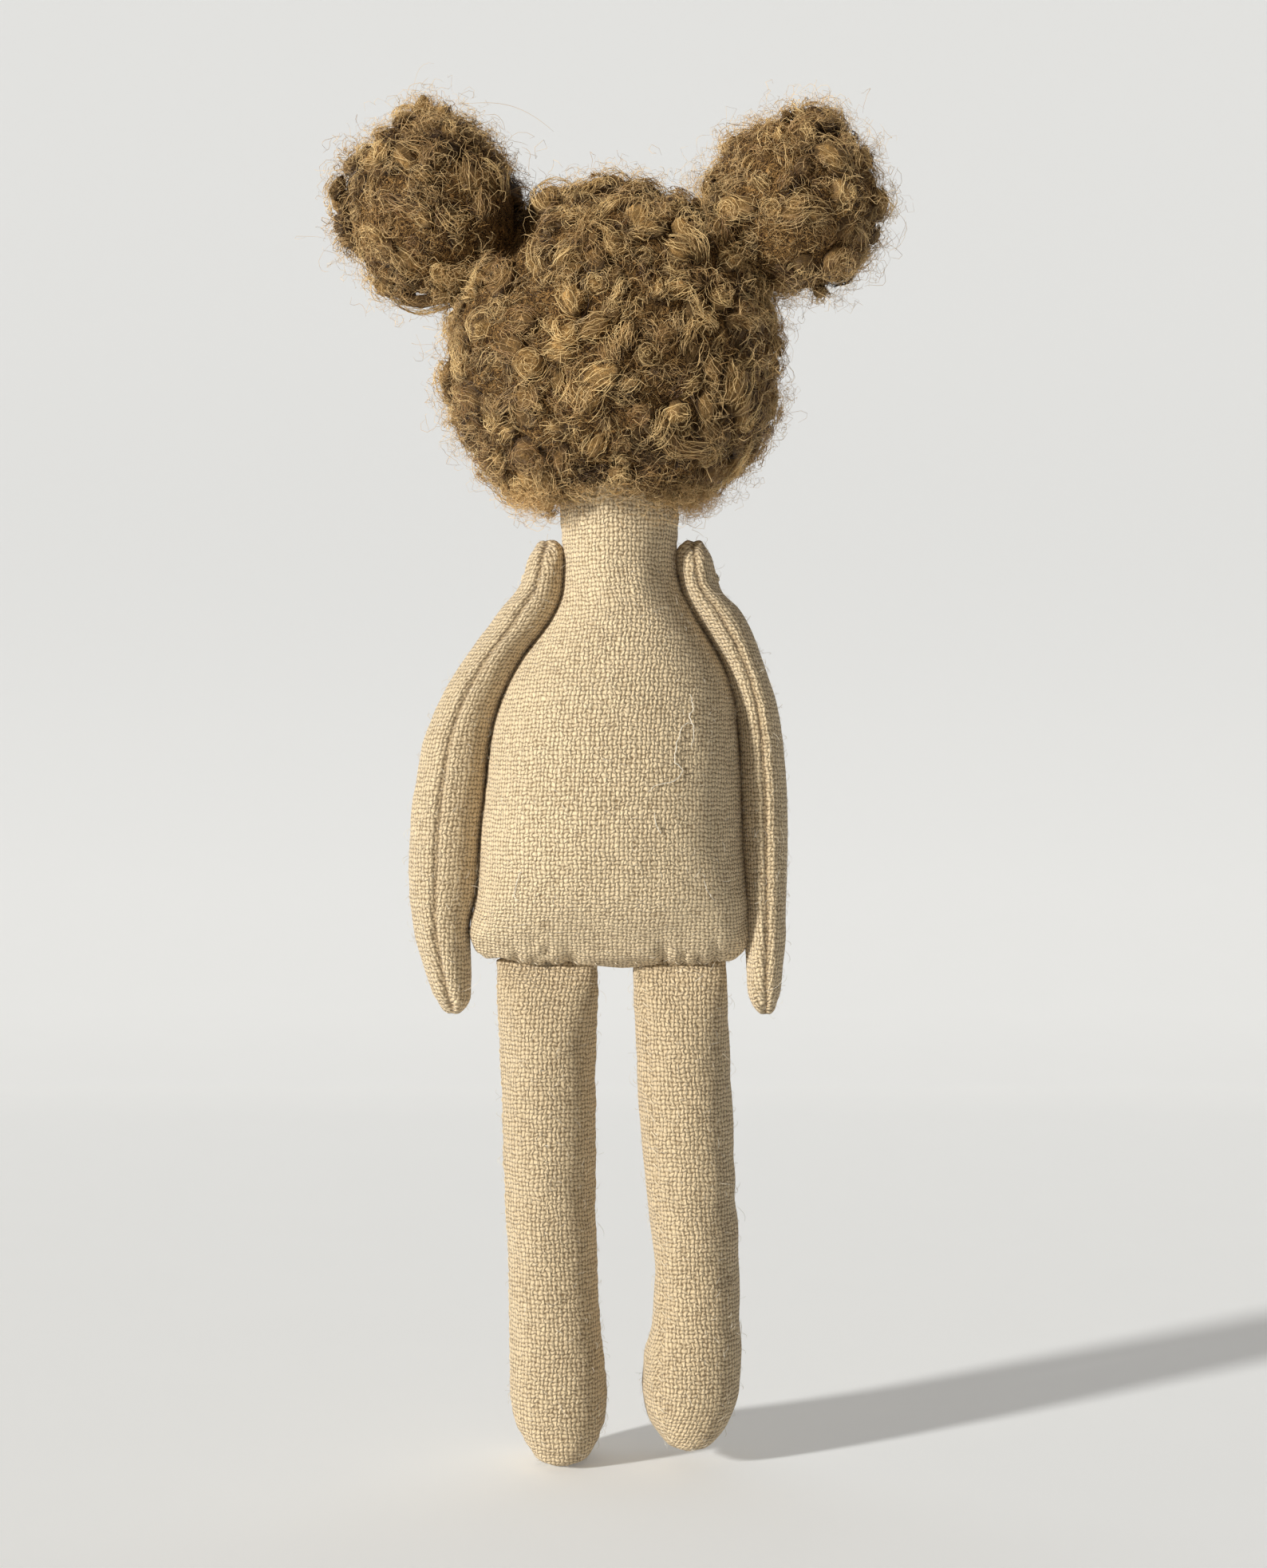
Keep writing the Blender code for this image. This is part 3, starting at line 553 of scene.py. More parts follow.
def blow_up(cloth, most):
    """The filling presses the cloth outwards while its seams pull short. No point goes further than most."""
    start = read_points(cloth)
    write_points(cloth, start * SIM_SCALE)
    climb = carried(cloth, "climb")
    held = np.clip(1 - np.minimum(climb, climb.max() - climb) / 1.3, 0, 1)
    pulled = np.clip(1 - carried(cloth, "seam") / 1.6, 0, 1)
    for name, shares in (("pull", pulled), ("hold", held)):
        group = cloth.vertex_groups.new(name=name)
        for point, share in enumerate(shares):
            group.add([point], float(share), "REPLACE")
    modifier = cloth.modifiers.new("Filling", "CLOTH")
    for name, value in CLOTH_SETTINGS.items():
        setattr(modifier.settings, name, value)
    modifier.settings.effector_weights.gravity = 0
    modifier.collision_settings.use_collision = False
    modifier.point_cache.frame_start = 1
    modifier.point_cache.frame_end = SIM_STEPS
    for step in range(1, SIM_STEPS + 1):
        bpy.context.scene.frame_set(step)
    apply(cloth, modifier)
    bpy.context.scene.frame_set(1)
    moved = read_points(cloth) / SIM_SCALE - start
    write_points(cloth, start)
    out = read_points(cloth, "normal")
    moved -= out * (moved * out).sum(1).mean() * (1 - held[:, None])
    far = np.linalg.norm(moved, axis=1, keepdims=True)
    write_points(cloth, start + moved * np.minimum(1, most * MM / np.maximum(far, 1e-9)))
    cloth.vertex_groups.clear()


STITCH_LENGTH = 1.9


def rumple(cloth, seam_depth, dents, seed):
    """Draws the seams in between their stitches, and leaves the cloth a little uneven over its filling."""
    points = read_points(cloth)
    seam, climb = carried(cloth, "seam"), carried(cloth, "climb")
    stitch = 0.5 + 0.5 * np.cos(2 * math.pi * climb / STITCH_LENGTH)
    fade = np.clip(np.minimum(climb, climb.max() - climb) / 2.5, 0.15, 1)
    groove = seam_depth * fade * np.exp(-((seam / 0.42) ** 2)) * (0.72 + 0.28 * stitch)
    pucker = 0.09 * stitch * np.exp(-((seam - 1.0) ** 2) / 0.6)
    uneven = bumps(points, 210, (seed, 0, 0)) * 0.65 + bumps(points, 520, (0, seed, 0)) * 0.35
    push_out(cloth, uneven * dents - groove + pucker)


def sewn(
    name, place, columns, rows, seam, nodes, body, seam_depth, seed, most=0.45, drawn=1.0, dents=0.16, painted_shade=0.0
):
    """A form of cloth, blown up and drawn in at its seams. Drawn sets how much painted shade darkens its seam
    grooves, and the last argument sets a painted shade over the whole piece.
    """
    cloth = wrap_cloth(name, place, columns, rows, seam)
    blow_up(cloth, most)
    modifier = cloth.modifiers.new("Fine cloth", "SUBSURF")
    modifier.levels = modifier.render_levels = 1
    apply(cloth, modifier)
    rumple(cloth, seam_depth, dents, seed)
    # painted shade: drawn at the seams, falling to the given painted shade away from them
    carry(cloth, "drawn", painted_shade + (drawn - painted_shade) * np.exp(-((carried(cloth, "seam") / 0.32) ** 2)))
    return dressed(cloth, LINEN, nodes, body)


def filling(name, place, ends, node, body, full=0.82):
    """The wool inside: the same form, a cloth's thickness in, with a soft uneven surface."""
    wool = new_grid(name, 40, 40)
    across, up = (read_points(wool)[:, :2] + (0, 0.5)).T
    share = ends[0] + (ends[1] - ends[0]) * up
    rim = np.clip(np.minimum(up, 1 - up) * 7, 0, 1)[:, None]
    axis = (place(np.zeros(len(up)), share) + place(np.full(len(up), math.pi), share)) / 2
    write_points(wool, axis + (place(2 * math.pi * across, share) - axis) * np.sqrt(1 - (1 - rim) ** 2) * full)
    close_up(wool)
    push_out(wool, bumps(read_points(wool), 330) * 0.25)
    dressed(wool, WOOL, (node,), body)


# Outlines, from the back


TORSO_LEFT = (
    (-19.2, 14.3), (-18.5, 15.7), (-17.85, 16.6), (-16.9, 17.35), (-16.0, 17.6), (-15.0, 17.5),
    (-13.1, 17.15), (-9.4, 16.7), (-5.6, 16.5), (-1.8, 16.2), (2.0, 15.75), (5.7, 15.3), (9.5, 14.7),
    (11.4, 14.05), (13.3, 13.4), (15.2, 12.4), (17.1, 11.3), (18.9, 9.75), (20.8, 8.35), (22.7, 7.3),
    (24.6, 6.65), (26.5, 6.35), (28.4, 6.25), (32.1, 6.4), (35.9, 6.7), (40.5, 6.9),
)
TORSO_RIGHT = (
    (-19.2, -12.9), (-18.5, -14.2), (-17.85, -15.1), (-16.9, -15.9), (-16.0, -16.1), (-13.1, -16.0),
    (-9.4, -15.8), (-5.6, -15.5), (-1.8, -15.3), (2.0, -15.2), (5.7, -15.0), (9.5, -14.7), (11.4, -14.5),
    (13.3, -14.1), (15.2, -13.5), (17.1, -12.6), (18.9, -11.5), (20.8, -10.3), (22.7, -9.2), (24.6, -8.15),
    (26.5, -7.5), (28.4, -7.25), (32.1, -7.5), (35.9, -7.6), (40.5, -7.4),
)
TORSO_DEPTH = (
    (-19.2, 1.3), (-18.4, 2.9), (-17.4, 4.2), (-14.1, 7.2), (-10.8, 9.3), (-2.5, 11.4), (1.0, 11.5),
    (9.5, 10.5), (16.6, 8.85), (23.8, 7.0), (28.6, 6.5), (40.5, 6.7),
)
TORSO_SQUARENESS = ((-19.2, 4.2), (-17.0, 3.2), (-12.0, 2.4), (-4.0, 2.1), (40.5, 2.0))
HEAD_MIDDLE = np.array((0.3, 0.0, 51.2))
HEAD_HALVES = np.array((16.3, 15.2, 17.4))

LEFT_ARM_OUTSIDE = (
    (-25.2, 20.5), (-24.2, 21.3), (-22.6, 22.1), (-19.0, 23.3), (-15.0, 24.2), (-11.2, 24.75), (-3.7, 24.6),
    (5.7, 23.3), (9.5, 22.1), (13.3, 20.3), (17.1, 17.8), (20.8, 15.1), (22.8, 13.7), (24.2, 12.4),
    (25.6, 11.5), (27.0, 11.0), (28.4, 10.6), (30.3, 9.6),
)
LEFT_ARM_INSIDE = (
    (-25.2, 18.0), (-24.2, 17.6), (-22.6, 17.4), (-15.0, 17.55), (-11.2, 16.65), (-3.7, 16.1), (2.0, 15.55),
    (5.7, 15.15), (9.5, 14.5), (13.3, 12.95), (17.1, 10.85), (20.8, 7.95), (24.6, 6.45), (28.4, 6.3),
    (30.3, 6.65),
)
RIGHT_ARM_OUTSIDE = (
    (-25.2, -18.9), (-24.2, -19.4), (-22.6, -19.8), (-15.0, -20.4), (-3.7, -20.6), (5.7, -20.2),
    (9.5, -19.7), (13.3, -18.7), (17.1, -17.4), (18.9, -16.8), (20.8, -15.9), (22.8, -14.6), (24.0, -13.3),
    (25.4, -12.1), (26.8, -11.8), (28.4, -11.6), (30.3, -10.7),
)
RIGHT_ARM_INSIDE = (
    (-25.2, -16.6), (-24.2, -16.3), (-22.6, -15.9), (-15.0, -15.55), (-10.0, -15.4), (-3.7, -15.1),
    (5.7, -14.8), (9.5, -14.5), (13.3, -13.75), (17.1, -12.25), (20.8, -9.95), (24.6, -7.95), (28.4, -7.3),
    (30.3, -7.6),
)
ARM_DEPTH = (
    (-25.4, 1.7), (-24.3, 2.3), (-22.0, 3.0), (-17.6, 3.75), (-6.0, 4.2), (19.2, 4.0), (26.5, 3.5),
    (28.7, 2.9), (30.4, 1.7),
)
LEFT_LEG_OUTSIDE = (
    (-78.7, 8.4), (-78.0, 9.2), (-77.0, 10.0), (-75.4, 11.0), (-73.5, 11.95), (-69.7, 12.55),
    (-64.1, 12.45), (-56.5, 12.55), (-47.0, 12.9), (-37.6, 13.3), (-28.2, 13.7), (-19.0, 14.1),
)
LEFT_LEG_INSIDE = (
    (-78.7, 4.2), (-78.0, 3.4), (-77.0, 2.7), (-75.4, 1.9), (-73.5, 1.4), (-69.7, 1.2), (-64.1, 1.7),
    (-56.5, 2.25), (-47.0, 2.55), (-37.6, 2.45), (-28.2, 2.3), (-19.0, 2.1),
)
RIGHT_LEG_OUTSIDE = (
    (-76.9, -10.2), (-76.2, -11.2), (-75.4, -12.0), (-73.5, -13.3), (-71.5, -14.2), (-69.7, -14.6),
    (-65.9, -14.75), (-62.2, -14.7), (-56.5, -14.5), (-47.0, -14.2), (-37.6, -13.8), (-28.2, -13.3),
    (-19.0, -13.0),
)
RIGHT_LEG_INSIDE = (
    (-76.9, -6.9), (-76.2, -5.9), (-75.4, -5.2), (-73.5, -4.1), (-71.5, -3.6), (-69.7, -3.35),
    (-65.9, -3.5), (-62.2, -4.4), (-56.5, -4.6), (-47.0, -3.9), (-37.6, -3.0), (-28.2, -2.4), (-19.0, -2.0),
)
LEG_BACK = (
    (0.0, 3.2), (1.0, 4.0), (2.7, 4.7), (5.7, 5.25), (11.7, 5.4), (21.7, 5.1), (42.7, 5.35), (50.7, 5.0),
    (54.2, 4.0), (56.7, 2.8), (58.5, 1.6), (59.8, 0.9),
)
LEG_FRONT = (
    (0.0, 5.8), (1.0, 8.0), (2.8, 9.9), (5.1, 10.8), (7.9, 10.1), (10.7, 7.9), (14.7, 5.9), (18.1, 5.2),
    (42.7, 5.35), (50.7, 5.0), (54.2, 4.0), (56.7, 2.8), (58.5, 1.6), (59.8, 0.9),
)
SOLES = {"left": -78.7, "right": -76.9}
LEG_TURNS = {"left": -8, "right": 8}
LEG_TOP = -18.5
LEG_LENGTH = 59.8


def leg_depth(table, side):
    """The same leg, drawn down to its own sole."""
    stretch = (LEG_TOP - SOLES[side]) / LEG_LENGTH
    return [(SOLES[side] + height * stretch, depth) for height, depth in table]


def head_form(angle, share):
    return (HEAD_MIDDLE + ball(math.pi * (1 - share), angle) * HEAD_HALVES) * MM


TORSO_FORM = tube_form(
    TORSO_LEFT, TORSO_RIGHT, TORSO_DEPTH, TORSO_DEPTH, (-19.2, 40.5), (0.5, 1.5), TORSO_SQUARENESS
)


def hem_beat(x):
    """Counts the stitches of the hem, which aren't quite evenly spaced."""
    return x / 2.5 + 0.35 * np.sin(x * 0.7)


def closed_hem(angle, share):
    """The torso, whose lower edge bulges between the legs and dips at its stitches. Its lowest row is drawn
    to one line, where front and back are sewn together."""
    points = TORSO_FORM(angle, share)
    x, z = points[..., 0] / MM, points[..., 2] / MM
    near = np.clip(1 - (z + 19.2) / 3.2, 0, 1) ** 1.5
    bulge = 0.85 * np.exp(-(((x + 1.2) / 2.4) ** 2)) + 0.25 * np.exp(-(((x - 8.5) / 3.0) ** 2))
    dips = 0.34 * np.cos(2 * math.pi * hem_beat(x)) + 0.2 * np.sin(x * 0.55 + 1)
    points[..., 2] -= near * (bulge + dips * np.exp(-(((x - 0.4) / 12.6) ** 8))) * MM
    line = np.isclose(share, 0.0)
    points[..., 0] = np.where(line, (0.7 + 13.6 * signed_power(np.cos(angle), 0.5)) * MM, points[..., 0])
    points[..., 1] = np.where(line, 0.0, points[..., 1])
    return points


def gather(cloth):
    """Draws the torso in where each hem stitch pulls on it, with a dimple under every one."""
    x, y, z = read_points(cloth).T / MM
    place = hem_beat(x) + np.where(y > 0, 0.0, 0.4)
    dimple = np.clip(np.cos(2 * math.pi * place), 0, 1) ** 3
    above = np.clip(z + 18.6, 0, None)
    near = np.exp(-((above / 1.5) ** 2))
    long = np.exp(-((above / 3.6) ** 2)) * (0.5 + 0.5 * np.sin(place * 2.1))
    lift = 0.26 * near - 0.62 * near * dimple - 0.2 * long * dimple
    push_out(cloth, lift * np.clip(np.abs(y) / 0.8, 0, 1) * np.exp(-(((x - 0.4) / 13.2) ** 8)))


def leg_form(side, left, right):
    sole, turned = SOLES[side], LEG_TURNS[side]
    turn = ((sole, turned), (sole + 8, turned * 0.8), (sole + 17, 0.0), (LEG_TOP, 0.0))
    squareness = ((sole, 2.2), (-30.0, 2.05), (-24.0, 2.5), (LEG_TOP, 4.0))
    back, front = leg_depth(LEG_BACK, side), leg_depth(LEG_FRONT, side)
    return tube_form(left, right, back, front, (sole, LEG_TOP), (0.9, 0.4), squareness, turn)


ARM_FORMS = {
    side: tube_form(*edges, ARM_DEPTH, ARM_DEPTH, (-25.4, 30.4), (1.9, 1.3))
    for side, edges in (
        ("left", (LEFT_ARM_OUTSIDE, LEFT_ARM_INSIDE)),
        ("right", (RIGHT_ARM_INSIDE, RIGHT_ARM_OUTSIDE)),
    )
}
LEG_FORMS = {
    "left": leg_form("left", LEFT_LEG_OUTSIDE, LEFT_LEG_INSIDE),
    "right": leg_form("right", RIGHT_LEG_INSIDE, RIGHT_LEG_OUTSIDE),
}
ARM_SEAMS = {"left": 80, "right": 90}
LEG_SEAMS = {"left": 7, "right": 42}
HIPS = {
    side: ("torso", f"{side}_leg", (x * MM, 0, -0.0194), (x * MM, 0, -0.0240))
    for side, x in (("left", 8.1), ("right", -7.8))
}


def sew_doll():
    cloth = {}
    nodes = ("body_back_panel", "body_front_panel")
    cloth["torso"] = sewn("torso_cloth", closed_hem, 80, 84, 0, nodes, "torso", 0.2, 1, drawn=0.5)
    gather(cloth["torso"])
    nodes = ("head_back_panel", "face_panel")
    cloth["head"] = sewn("head_cloth", head_form, 64, 48, 0, nodes, "torso", 0.2, 2, dents=0.08)
    for side, form in ARM_FORMS.items():
        arm = f"{side}_arm"
        nodes = (f"{arm}_outer_panel", f"{arm}_inner_panel")
        # the arms carry a light painted shade all over
        cloth[arm] = sewn(f"{arm}_cloth", form, 52, 84, ARM_SEAMS[side], nodes, arm, 0.45, 3, most=0.3, painted_shade=0.14)
    for side, form in LEG_FORMS.items():
        leg = f"{side}_leg"
        nodes = (f"{leg}_back_panel", f"{leg}_front_panel", f"{leg}_top_roll")
        # the legs carry a stronger painted shade all over
        looks = {"most": 0.2, "drawn": 0.5, "painted_shade": 0.3}
        cloth[leg] = sewn(f"{leg}_cloth", form, 56, 88, LEG_SEAMS[side], nodes, HIPS[side], 0.12, 5, **looks)
    filling("torso_wool", TORSO_FORM, (0.14, 0.98), "body_filling", "torso")
    filling("head_wool", head_form, (0.04, 0.96), "head_filling", "torso")
    for side, form in ARM_FORMS.items():
        filling(f"{side}_arm_wool", form, (0.06, 0.94), f"{side}_arm_filling", f"{side}_arm", 0.66)
    for side, form in LEG_FORMS.items():
        filling(f"{side}_leg_wool", form, (0.06, 0.77), f"{side}_leg_filling", f"{side}_leg")
    return cloth


# Hair


HAIR_MIDDLE = np.array((0.45, 0.2, 51.3))
HAIR_HALVES = np.array((19.0, 18.0, 20.1))
HEAD_BEND = 19.0
BUN_BEND = 9.6
BUNS = {
    "left": {
        "middle": np.array((21.6, 2.2, 69.1)),
        "radius": 9.7,
        "seat": np.array((16.6, 1.7, 64.6)),
        "seed": 4.0,
        "tuft": ((24.0, 2.6, 79.4), (22.6, 2.2, 80.2), (21.2, 2.2, 79.8), (22.4, 2.4, 80.7), (15.6, 2.0, 77.0)),
    },
    "right": {
        "middle": np.array((-20.5, 2.0, 69.6)),
        "radius": 9.8,
        "seat": np.array((-15.9, 1.6, 65.5)),
        "seed": 9.0,
        "tuft": ((-22.6, 2.4, 79.2), (-24.2, 2.0, 79.5), (-25.6, 2.4, 78.7), (-24.3, 2.0, 80.4), (-28.4, 2.0, 75.6)),
    },
}
RECESS = np.array((11.6, 8.6, 65.0))
RECESS_HALVES = np.array((3.9, 6.0, 6.0))
TUFT_REPEATS = 3
STRANDS = 17
STRAND_POINTS = 10
LOOSE_POINTS = 7
ROUND, LONG = 10, 7
MOUND, ROSETTE, WAVE = range(3)


def strand_mesh(name, lines, fine, tones, depths, finish, body="torso"):
    """Fine three-sided strands along lines of points. Each carries its tone, and its depth at every point."""
    points = lines.shape[1]
    taper = np.sin(np.linspace(0.12, math.pi - 0.1, points)) ** 0.35
    obj = tubes(name, lines, np.reshape(fine, (-1, 1)) * taper, 3, (0.31, 0.52, 0.79))
    carry(obj, "tone", np.repeat(tones, points * 3))
    carry(obj, "depth", np.repeat(depths.ravel(), 3))
    return dressed(obj, finish, body=body)


def around_ball(count, rng):
    """Evenly spread directions, each a little out of place."""
    k = np.arange(count) + 0.5
    directions = ball(np.arccos(1 - 2 * k / count), math.pi * (1 + math.sqrt(5)) * k)
    return unit(directions + rng.normal(0, 0.45 * math.sqrt(4 * math.pi / count) * 0.5, directions.shape))


def sideways(out, rng):
    """Two directions along the surface, turned by chance, for each way out."""
    any_way = unit(np.cross(out, UP + rng.normal(0, 0.05, out.shape)))
    turn = rng.uniform(0, 2 * math.pi, (len(out), 1))
    first = np.cos(turn) * any_way + np.sin(turn) * np.cross(out, any_way)
    return first, np.cross(out, first)


def hairline(direction):
    """The angle from the crown at which the hair ends: high over the face, low at the sides of the neck."""
    from_front = np.abs(np.arctan2(direction[..., 0], -direction[..., 1]))
    share = np.clip(from_front / math.radians(82), 0, 1)
    eased = share**3 * (10 - 15 * share + 6 * share**2)
    nape = np.clip((from_front - math.radians(125)) / math.radians(40), 0, 1) ** 2
    return math.radians(50) + math.radians(100) * eased - math.radians(5.5) * nape


def drawn_under(polar):
    """The hair lies closer to the head towards the neck."""
    return 1 - 0.09 * np.clip((polar - math.radians(112)) / math.radians(38), 0, 1)[..., None]


def swell(directions, seed, coarse, most):
    """How far out the hair stands in each direction, as a share of its radius."""
    return 1 + most * bumps(directions, coarse, (seed, 0, 0))[:, None]


def in_recess(place):
    """How far each place lies in the dark hollow between left bun and head: 0 outside, 1 in its middle."""
    return np.clip(1 - np.linalg.norm((place - RECESS) / RECESS_HALVES, axis=1), 0, 1)


def head_locks(count, rng):
    """Where locks grow on the head, and the ways out: not on the face, nor under the buns."""
    out = around_ball(count, rng)
    polar = np.arccos(np.clip(out[:, 2], -1, 1))
    place = HAIR_MIDDLE + out * HAIR_HALVES * drawn_under(polar) * swell(out, 2.0, 2.2, 0.05)
    keep = (polar < hairline(out) - 0.06) & (in_recess(place) == 0)
    for bun in BUNS.values():
        keep &= np.linalg.norm(place - bun["middle"], axis=1) > bun["radius"] - 1.0
    return place[keep], unit(out / HAIR_HALVES)[keep]


def edge_locks(count, rng):
    """A row of small locks that hides the cut edge of the hair."""
    around = np.linspace(0, 2 * math.pi, count, endpoint=False) + rng.normal(0, 0.02, count)
    polar = hairline(ball(math.pi / 2, around)) - 0.02 + rng.normal(0, 0.02, count)
    out, down = ball(polar, around), ball(polar + math.pi / 2, around)
    return HEAD_MIDDLE + out * (HEAD_HALVES + 1.0), unit(out + 0.75 * down)


def bun_locks(bun, count, rng):
    out = around_ball(count, rng)
    place = bun["middle"] + out * bun["radius"] * swell(out, bun["seed"], 1.7, 0.2)
    free = (np.linalg.norm((place - HAIR_MIDDLE) / HAIR_HALVES, axis=1) > 0.98) & (in_recess(place) == 0)
    tuft = np.repeat(bun["tuft"], TUFT_REPEATS, axis=0)
    tuft = tuft + np.clip(rng.normal(0, 0.45, tuft.shape), -0.8, 0.8)
    upwards = unit(rng.normal((0, 0.9, 0.5), 0.4, tuft.shape))
    size = np.repeat((1.0, 0.6), (free.sum(), len(tuft)))
    return np.concatenate((place[free], tuft)), np.concatenate((out[free], upwards)), size


def mound(t, size, chance, hand):
    """A rolled lock lying on its side: its strands run over it from end to end."""
    polar = math.pi * (0.1 + 0.8 * t)
    turn = chance["side"] * 1.9 + hand * (1.3 + 0.3 * chance["drift"]) * (t - 0.5)
    full = 1 + 0.16 * chance["drift"]
    a = -1.75 * size * full * np.cos(polar)
    b = 1.2 * size * full * np.sin(polar) * np.sin(turn)
    return a, b, 1.25 * size * full * np.sin(polar) * np.cos(turn) - 0.1


def rosette(t, size, chance, hand):
    """A lock coiled flat, with its strands in rings about its middle."""
    share = np.abs(chance["side"]) ** 0.6 * 0.9 + 0.08
    turn = chance["start"] + hand * (1.5 + 0.6 * chance["long"]) * 2 * t
    wide = 1.65 * size * share * (1 - 0.3 * t) * (1 + 0.1 * chance["drift"])
    domed = np.sqrt(np.clip(1 - (wide / (1.85 * size)) ** 2, 0, 1))
    rise = (1.05 + 0.12 * chance["drift"]) * size * domed - 0.15
    return wide * np.cos(turn), wide * np.sin(turn) + 0.2 * size * share, rise


def wave(t, size, chance, hand):
    """A combed lock: its strands lie side by side in a shallow wave."""
    a = 3.1 * size * (1 + 0.2 * chance["drift"]) * (2 * t - 1)
    b = 0.95 * size * chance["side"] + hand * 0.6 * size * np.sin(a * 0.85 + chance["drift"] * 0.3)
    return a, b, 0.8 * size * np.sqrt(1 - 0.8 * chance["side"] ** 2) * np.sin(math.pi * (0.08 + 0.84 * t)) + 0.05


def settle(place, out, size, rng):
    """How each lock lies: its directions, kind, size, turn and height, by chance."""
    locks = len(place)
    along, aside = sideways(out, rng)
    lean = np.clip(rng.normal(0, 0.25, (2, locks, 1)), -0.45, 0.45)
    out = unit(out + lean[0] * along + lean[1] * aside)
    along = unit(along - out * (along * out).sum(1, keepdims=True))
    return {
        "place": place,
        "out": out,
        "along": along,
        "aside": np.cross(out, along),
        "kind": rng.choice((MOUND, ROSETTE, WAVE), locks, p=(0.56, 0.35, 0.09)),
        "size": size * rng.uniform(0.65, 1.5, locks),
        "hand": rng.choice((-1.0, 1.0), locks),
        "lift": rng.uniform(-0.9, 0.85, locks),
        "tone": rng.uniform(0, 1, locks),
    }


def laid(lock, a, b, n, bend):
    """Places on a lock, from how far they are along, beside and out of its middle."""
    n = n + lock["lift"] - (a**2 + b**2) / (2 * bend) * 0.8
    sides = a[..., None] * lock["along"] + b[..., None] * lock["aside"] + n[..., None] * lock["out"]
    return (lock["place"] + sides) * MM


def curl_lines(locks, bend, rng):
    """The strands of curled locks, with how far out each point is and each strand's shade."""
    total = len(locks["size"]) * STRANDS
    lock = {name: np.repeat(values, STRANDS, axis=0)[:, None] for name, values in locks.items()}
    chance = {
        "side": rng.uniform(-1, 1, (total, 1)),
        "start": rng.uniform(0, 2 * math.pi, (total, 1)),
        "long": rng.uniform(-1, 1, (total, 1)),
        "drift": rng.normal(0, 1, (total, 1)),
    }
    t = np.linspace(0, 1, STRAND_POINTS) * rng.uniform(0.7, 1.0, (total, 1)) + rng.uniform(0, 0.15, (total, 1))
    shapes = [form(np.clip(t, 0, 1), lock["size"], chance, lock["hand"]) for form in (mound, rosette, wave)]
    kind = np.broadcast_to(lock["kind"], t.shape)
    crimp = rng.gamma(2.2, 0.085, (total, 1))
    speed = rng.uniform(1.5, 3.6, (3, total, 1)) * 2 * math.pi
    twist = rng.uniform(0, 2 * math.pi, (3, total, 1))
    wavy = crimp * np.sin(speed * t + twist)
    a, b, n = (np.choose(kind, [shape[k] for shape in shapes]) + wavy[k] for k in range(3))
    # depth is how high each point lies, which sets the painted shade of the strands
    depths = np.clip((n + lock["lift"] * 0.7) / 1.2 + 0.04, 0, 1)
    tones = np.clip(0.7 * lock["tone"][:, 0] + 0.38 * rng.uniform(0, 1, total) - 0.04, 0, 1)
    return laid(lock, a, b, n, bend), depths, tones


def lock_bodies(name, locks, bend, rng):
    """The felted inside of every lock: a small closed lump under its strands."""
    lock = {key: np.expand_dims(values, (1, 2)) for key, values in locks.items()}
    polar = np.linspace(0, math.pi, LONG + 1)[:, None]
    turn = np.linspace(0, 2 * math.pi, ROUND, endpoint=False)
    uneven = rng.uniform(0.64, 0.97, (len(locks["size"]), LONG + 1, ROUND))
    uneven[:, (0, -1)] = 0.86
    size, hand = lock["size"] * uneven, lock["hand"]
    flat, waved = lock["kind"] == ROSETTE, lock["kind"] == WAVE
    long = np.where(waved, 2.9, 1.75) * size * np.cos(polar)
    ring = np.sin(polar) * size
    a = np.where(flat, 1.45 * ring * np.cos(turn), long)
    b = np.where(flat, 1.45, np.where(waved, 0.9, 1.1)) * ring * np.sin(turn)
    b = b + np.where(waved, hand * 0.6 * size * np.sin(a * 0.85), 0)
    high = np.where(waved, 0.7, 1.1) * ring * np.cos(turn)
    n = np.where(flat, 0.85 * size * np.cos(polar), high) - 0.28
    obj = ring_mesh(name, laid(lock, a, b, n, bend), capped=False)
    # depth is how high each point lies, which sets the painted shade of the lumps
    for word, values in (
        ("across", np.where(flat, ring * 1.6, ring * 1.2 * (turn - math.pi))),
        ("along", np.where(flat, turn * ring, long)),
        ("depth", np.clip((n + lock["lift"] * 0.7) / 1.3 + 0.25, 0.3, 1)),
        ("tone", lock["tone"] + 0 * uneven),
    ):
        carry(obj, word, values.ravel())
    close_up(obj, 0.000002)
    dressed(obj, LOCKS)


def grow_curls(name, place, out, size, bend, parts, rng):
    """Curled locks, with their strands in one piece for each part: parts says which locks are in which."""
    locks = settle(place, out, size, rng)
    lock_bodies(f"{name}_locks", locks, bend, rng)
    lines, depths, tones = curl_lines(locks, bend, rng)
    fine = rng.uniform(0.026, 0.047, len(lines)) * MM
    for part, inside in parts.items():
        rows = np.repeat(inside, STRANDS)
        strand_mesh(f"{part}_curls", lines[rows], fine[rows], tones[rows], depths[rows], HAIR)


def loose_hair(name, lines, rng):
    fine = rng.uniform(0.012, 0.026, len(lines)) * MM
    strand_mesh(name, lines, fine, rng.uniform(0, 1, len(lines)), np.ones(lines.shape[:2]), FRIZZ)


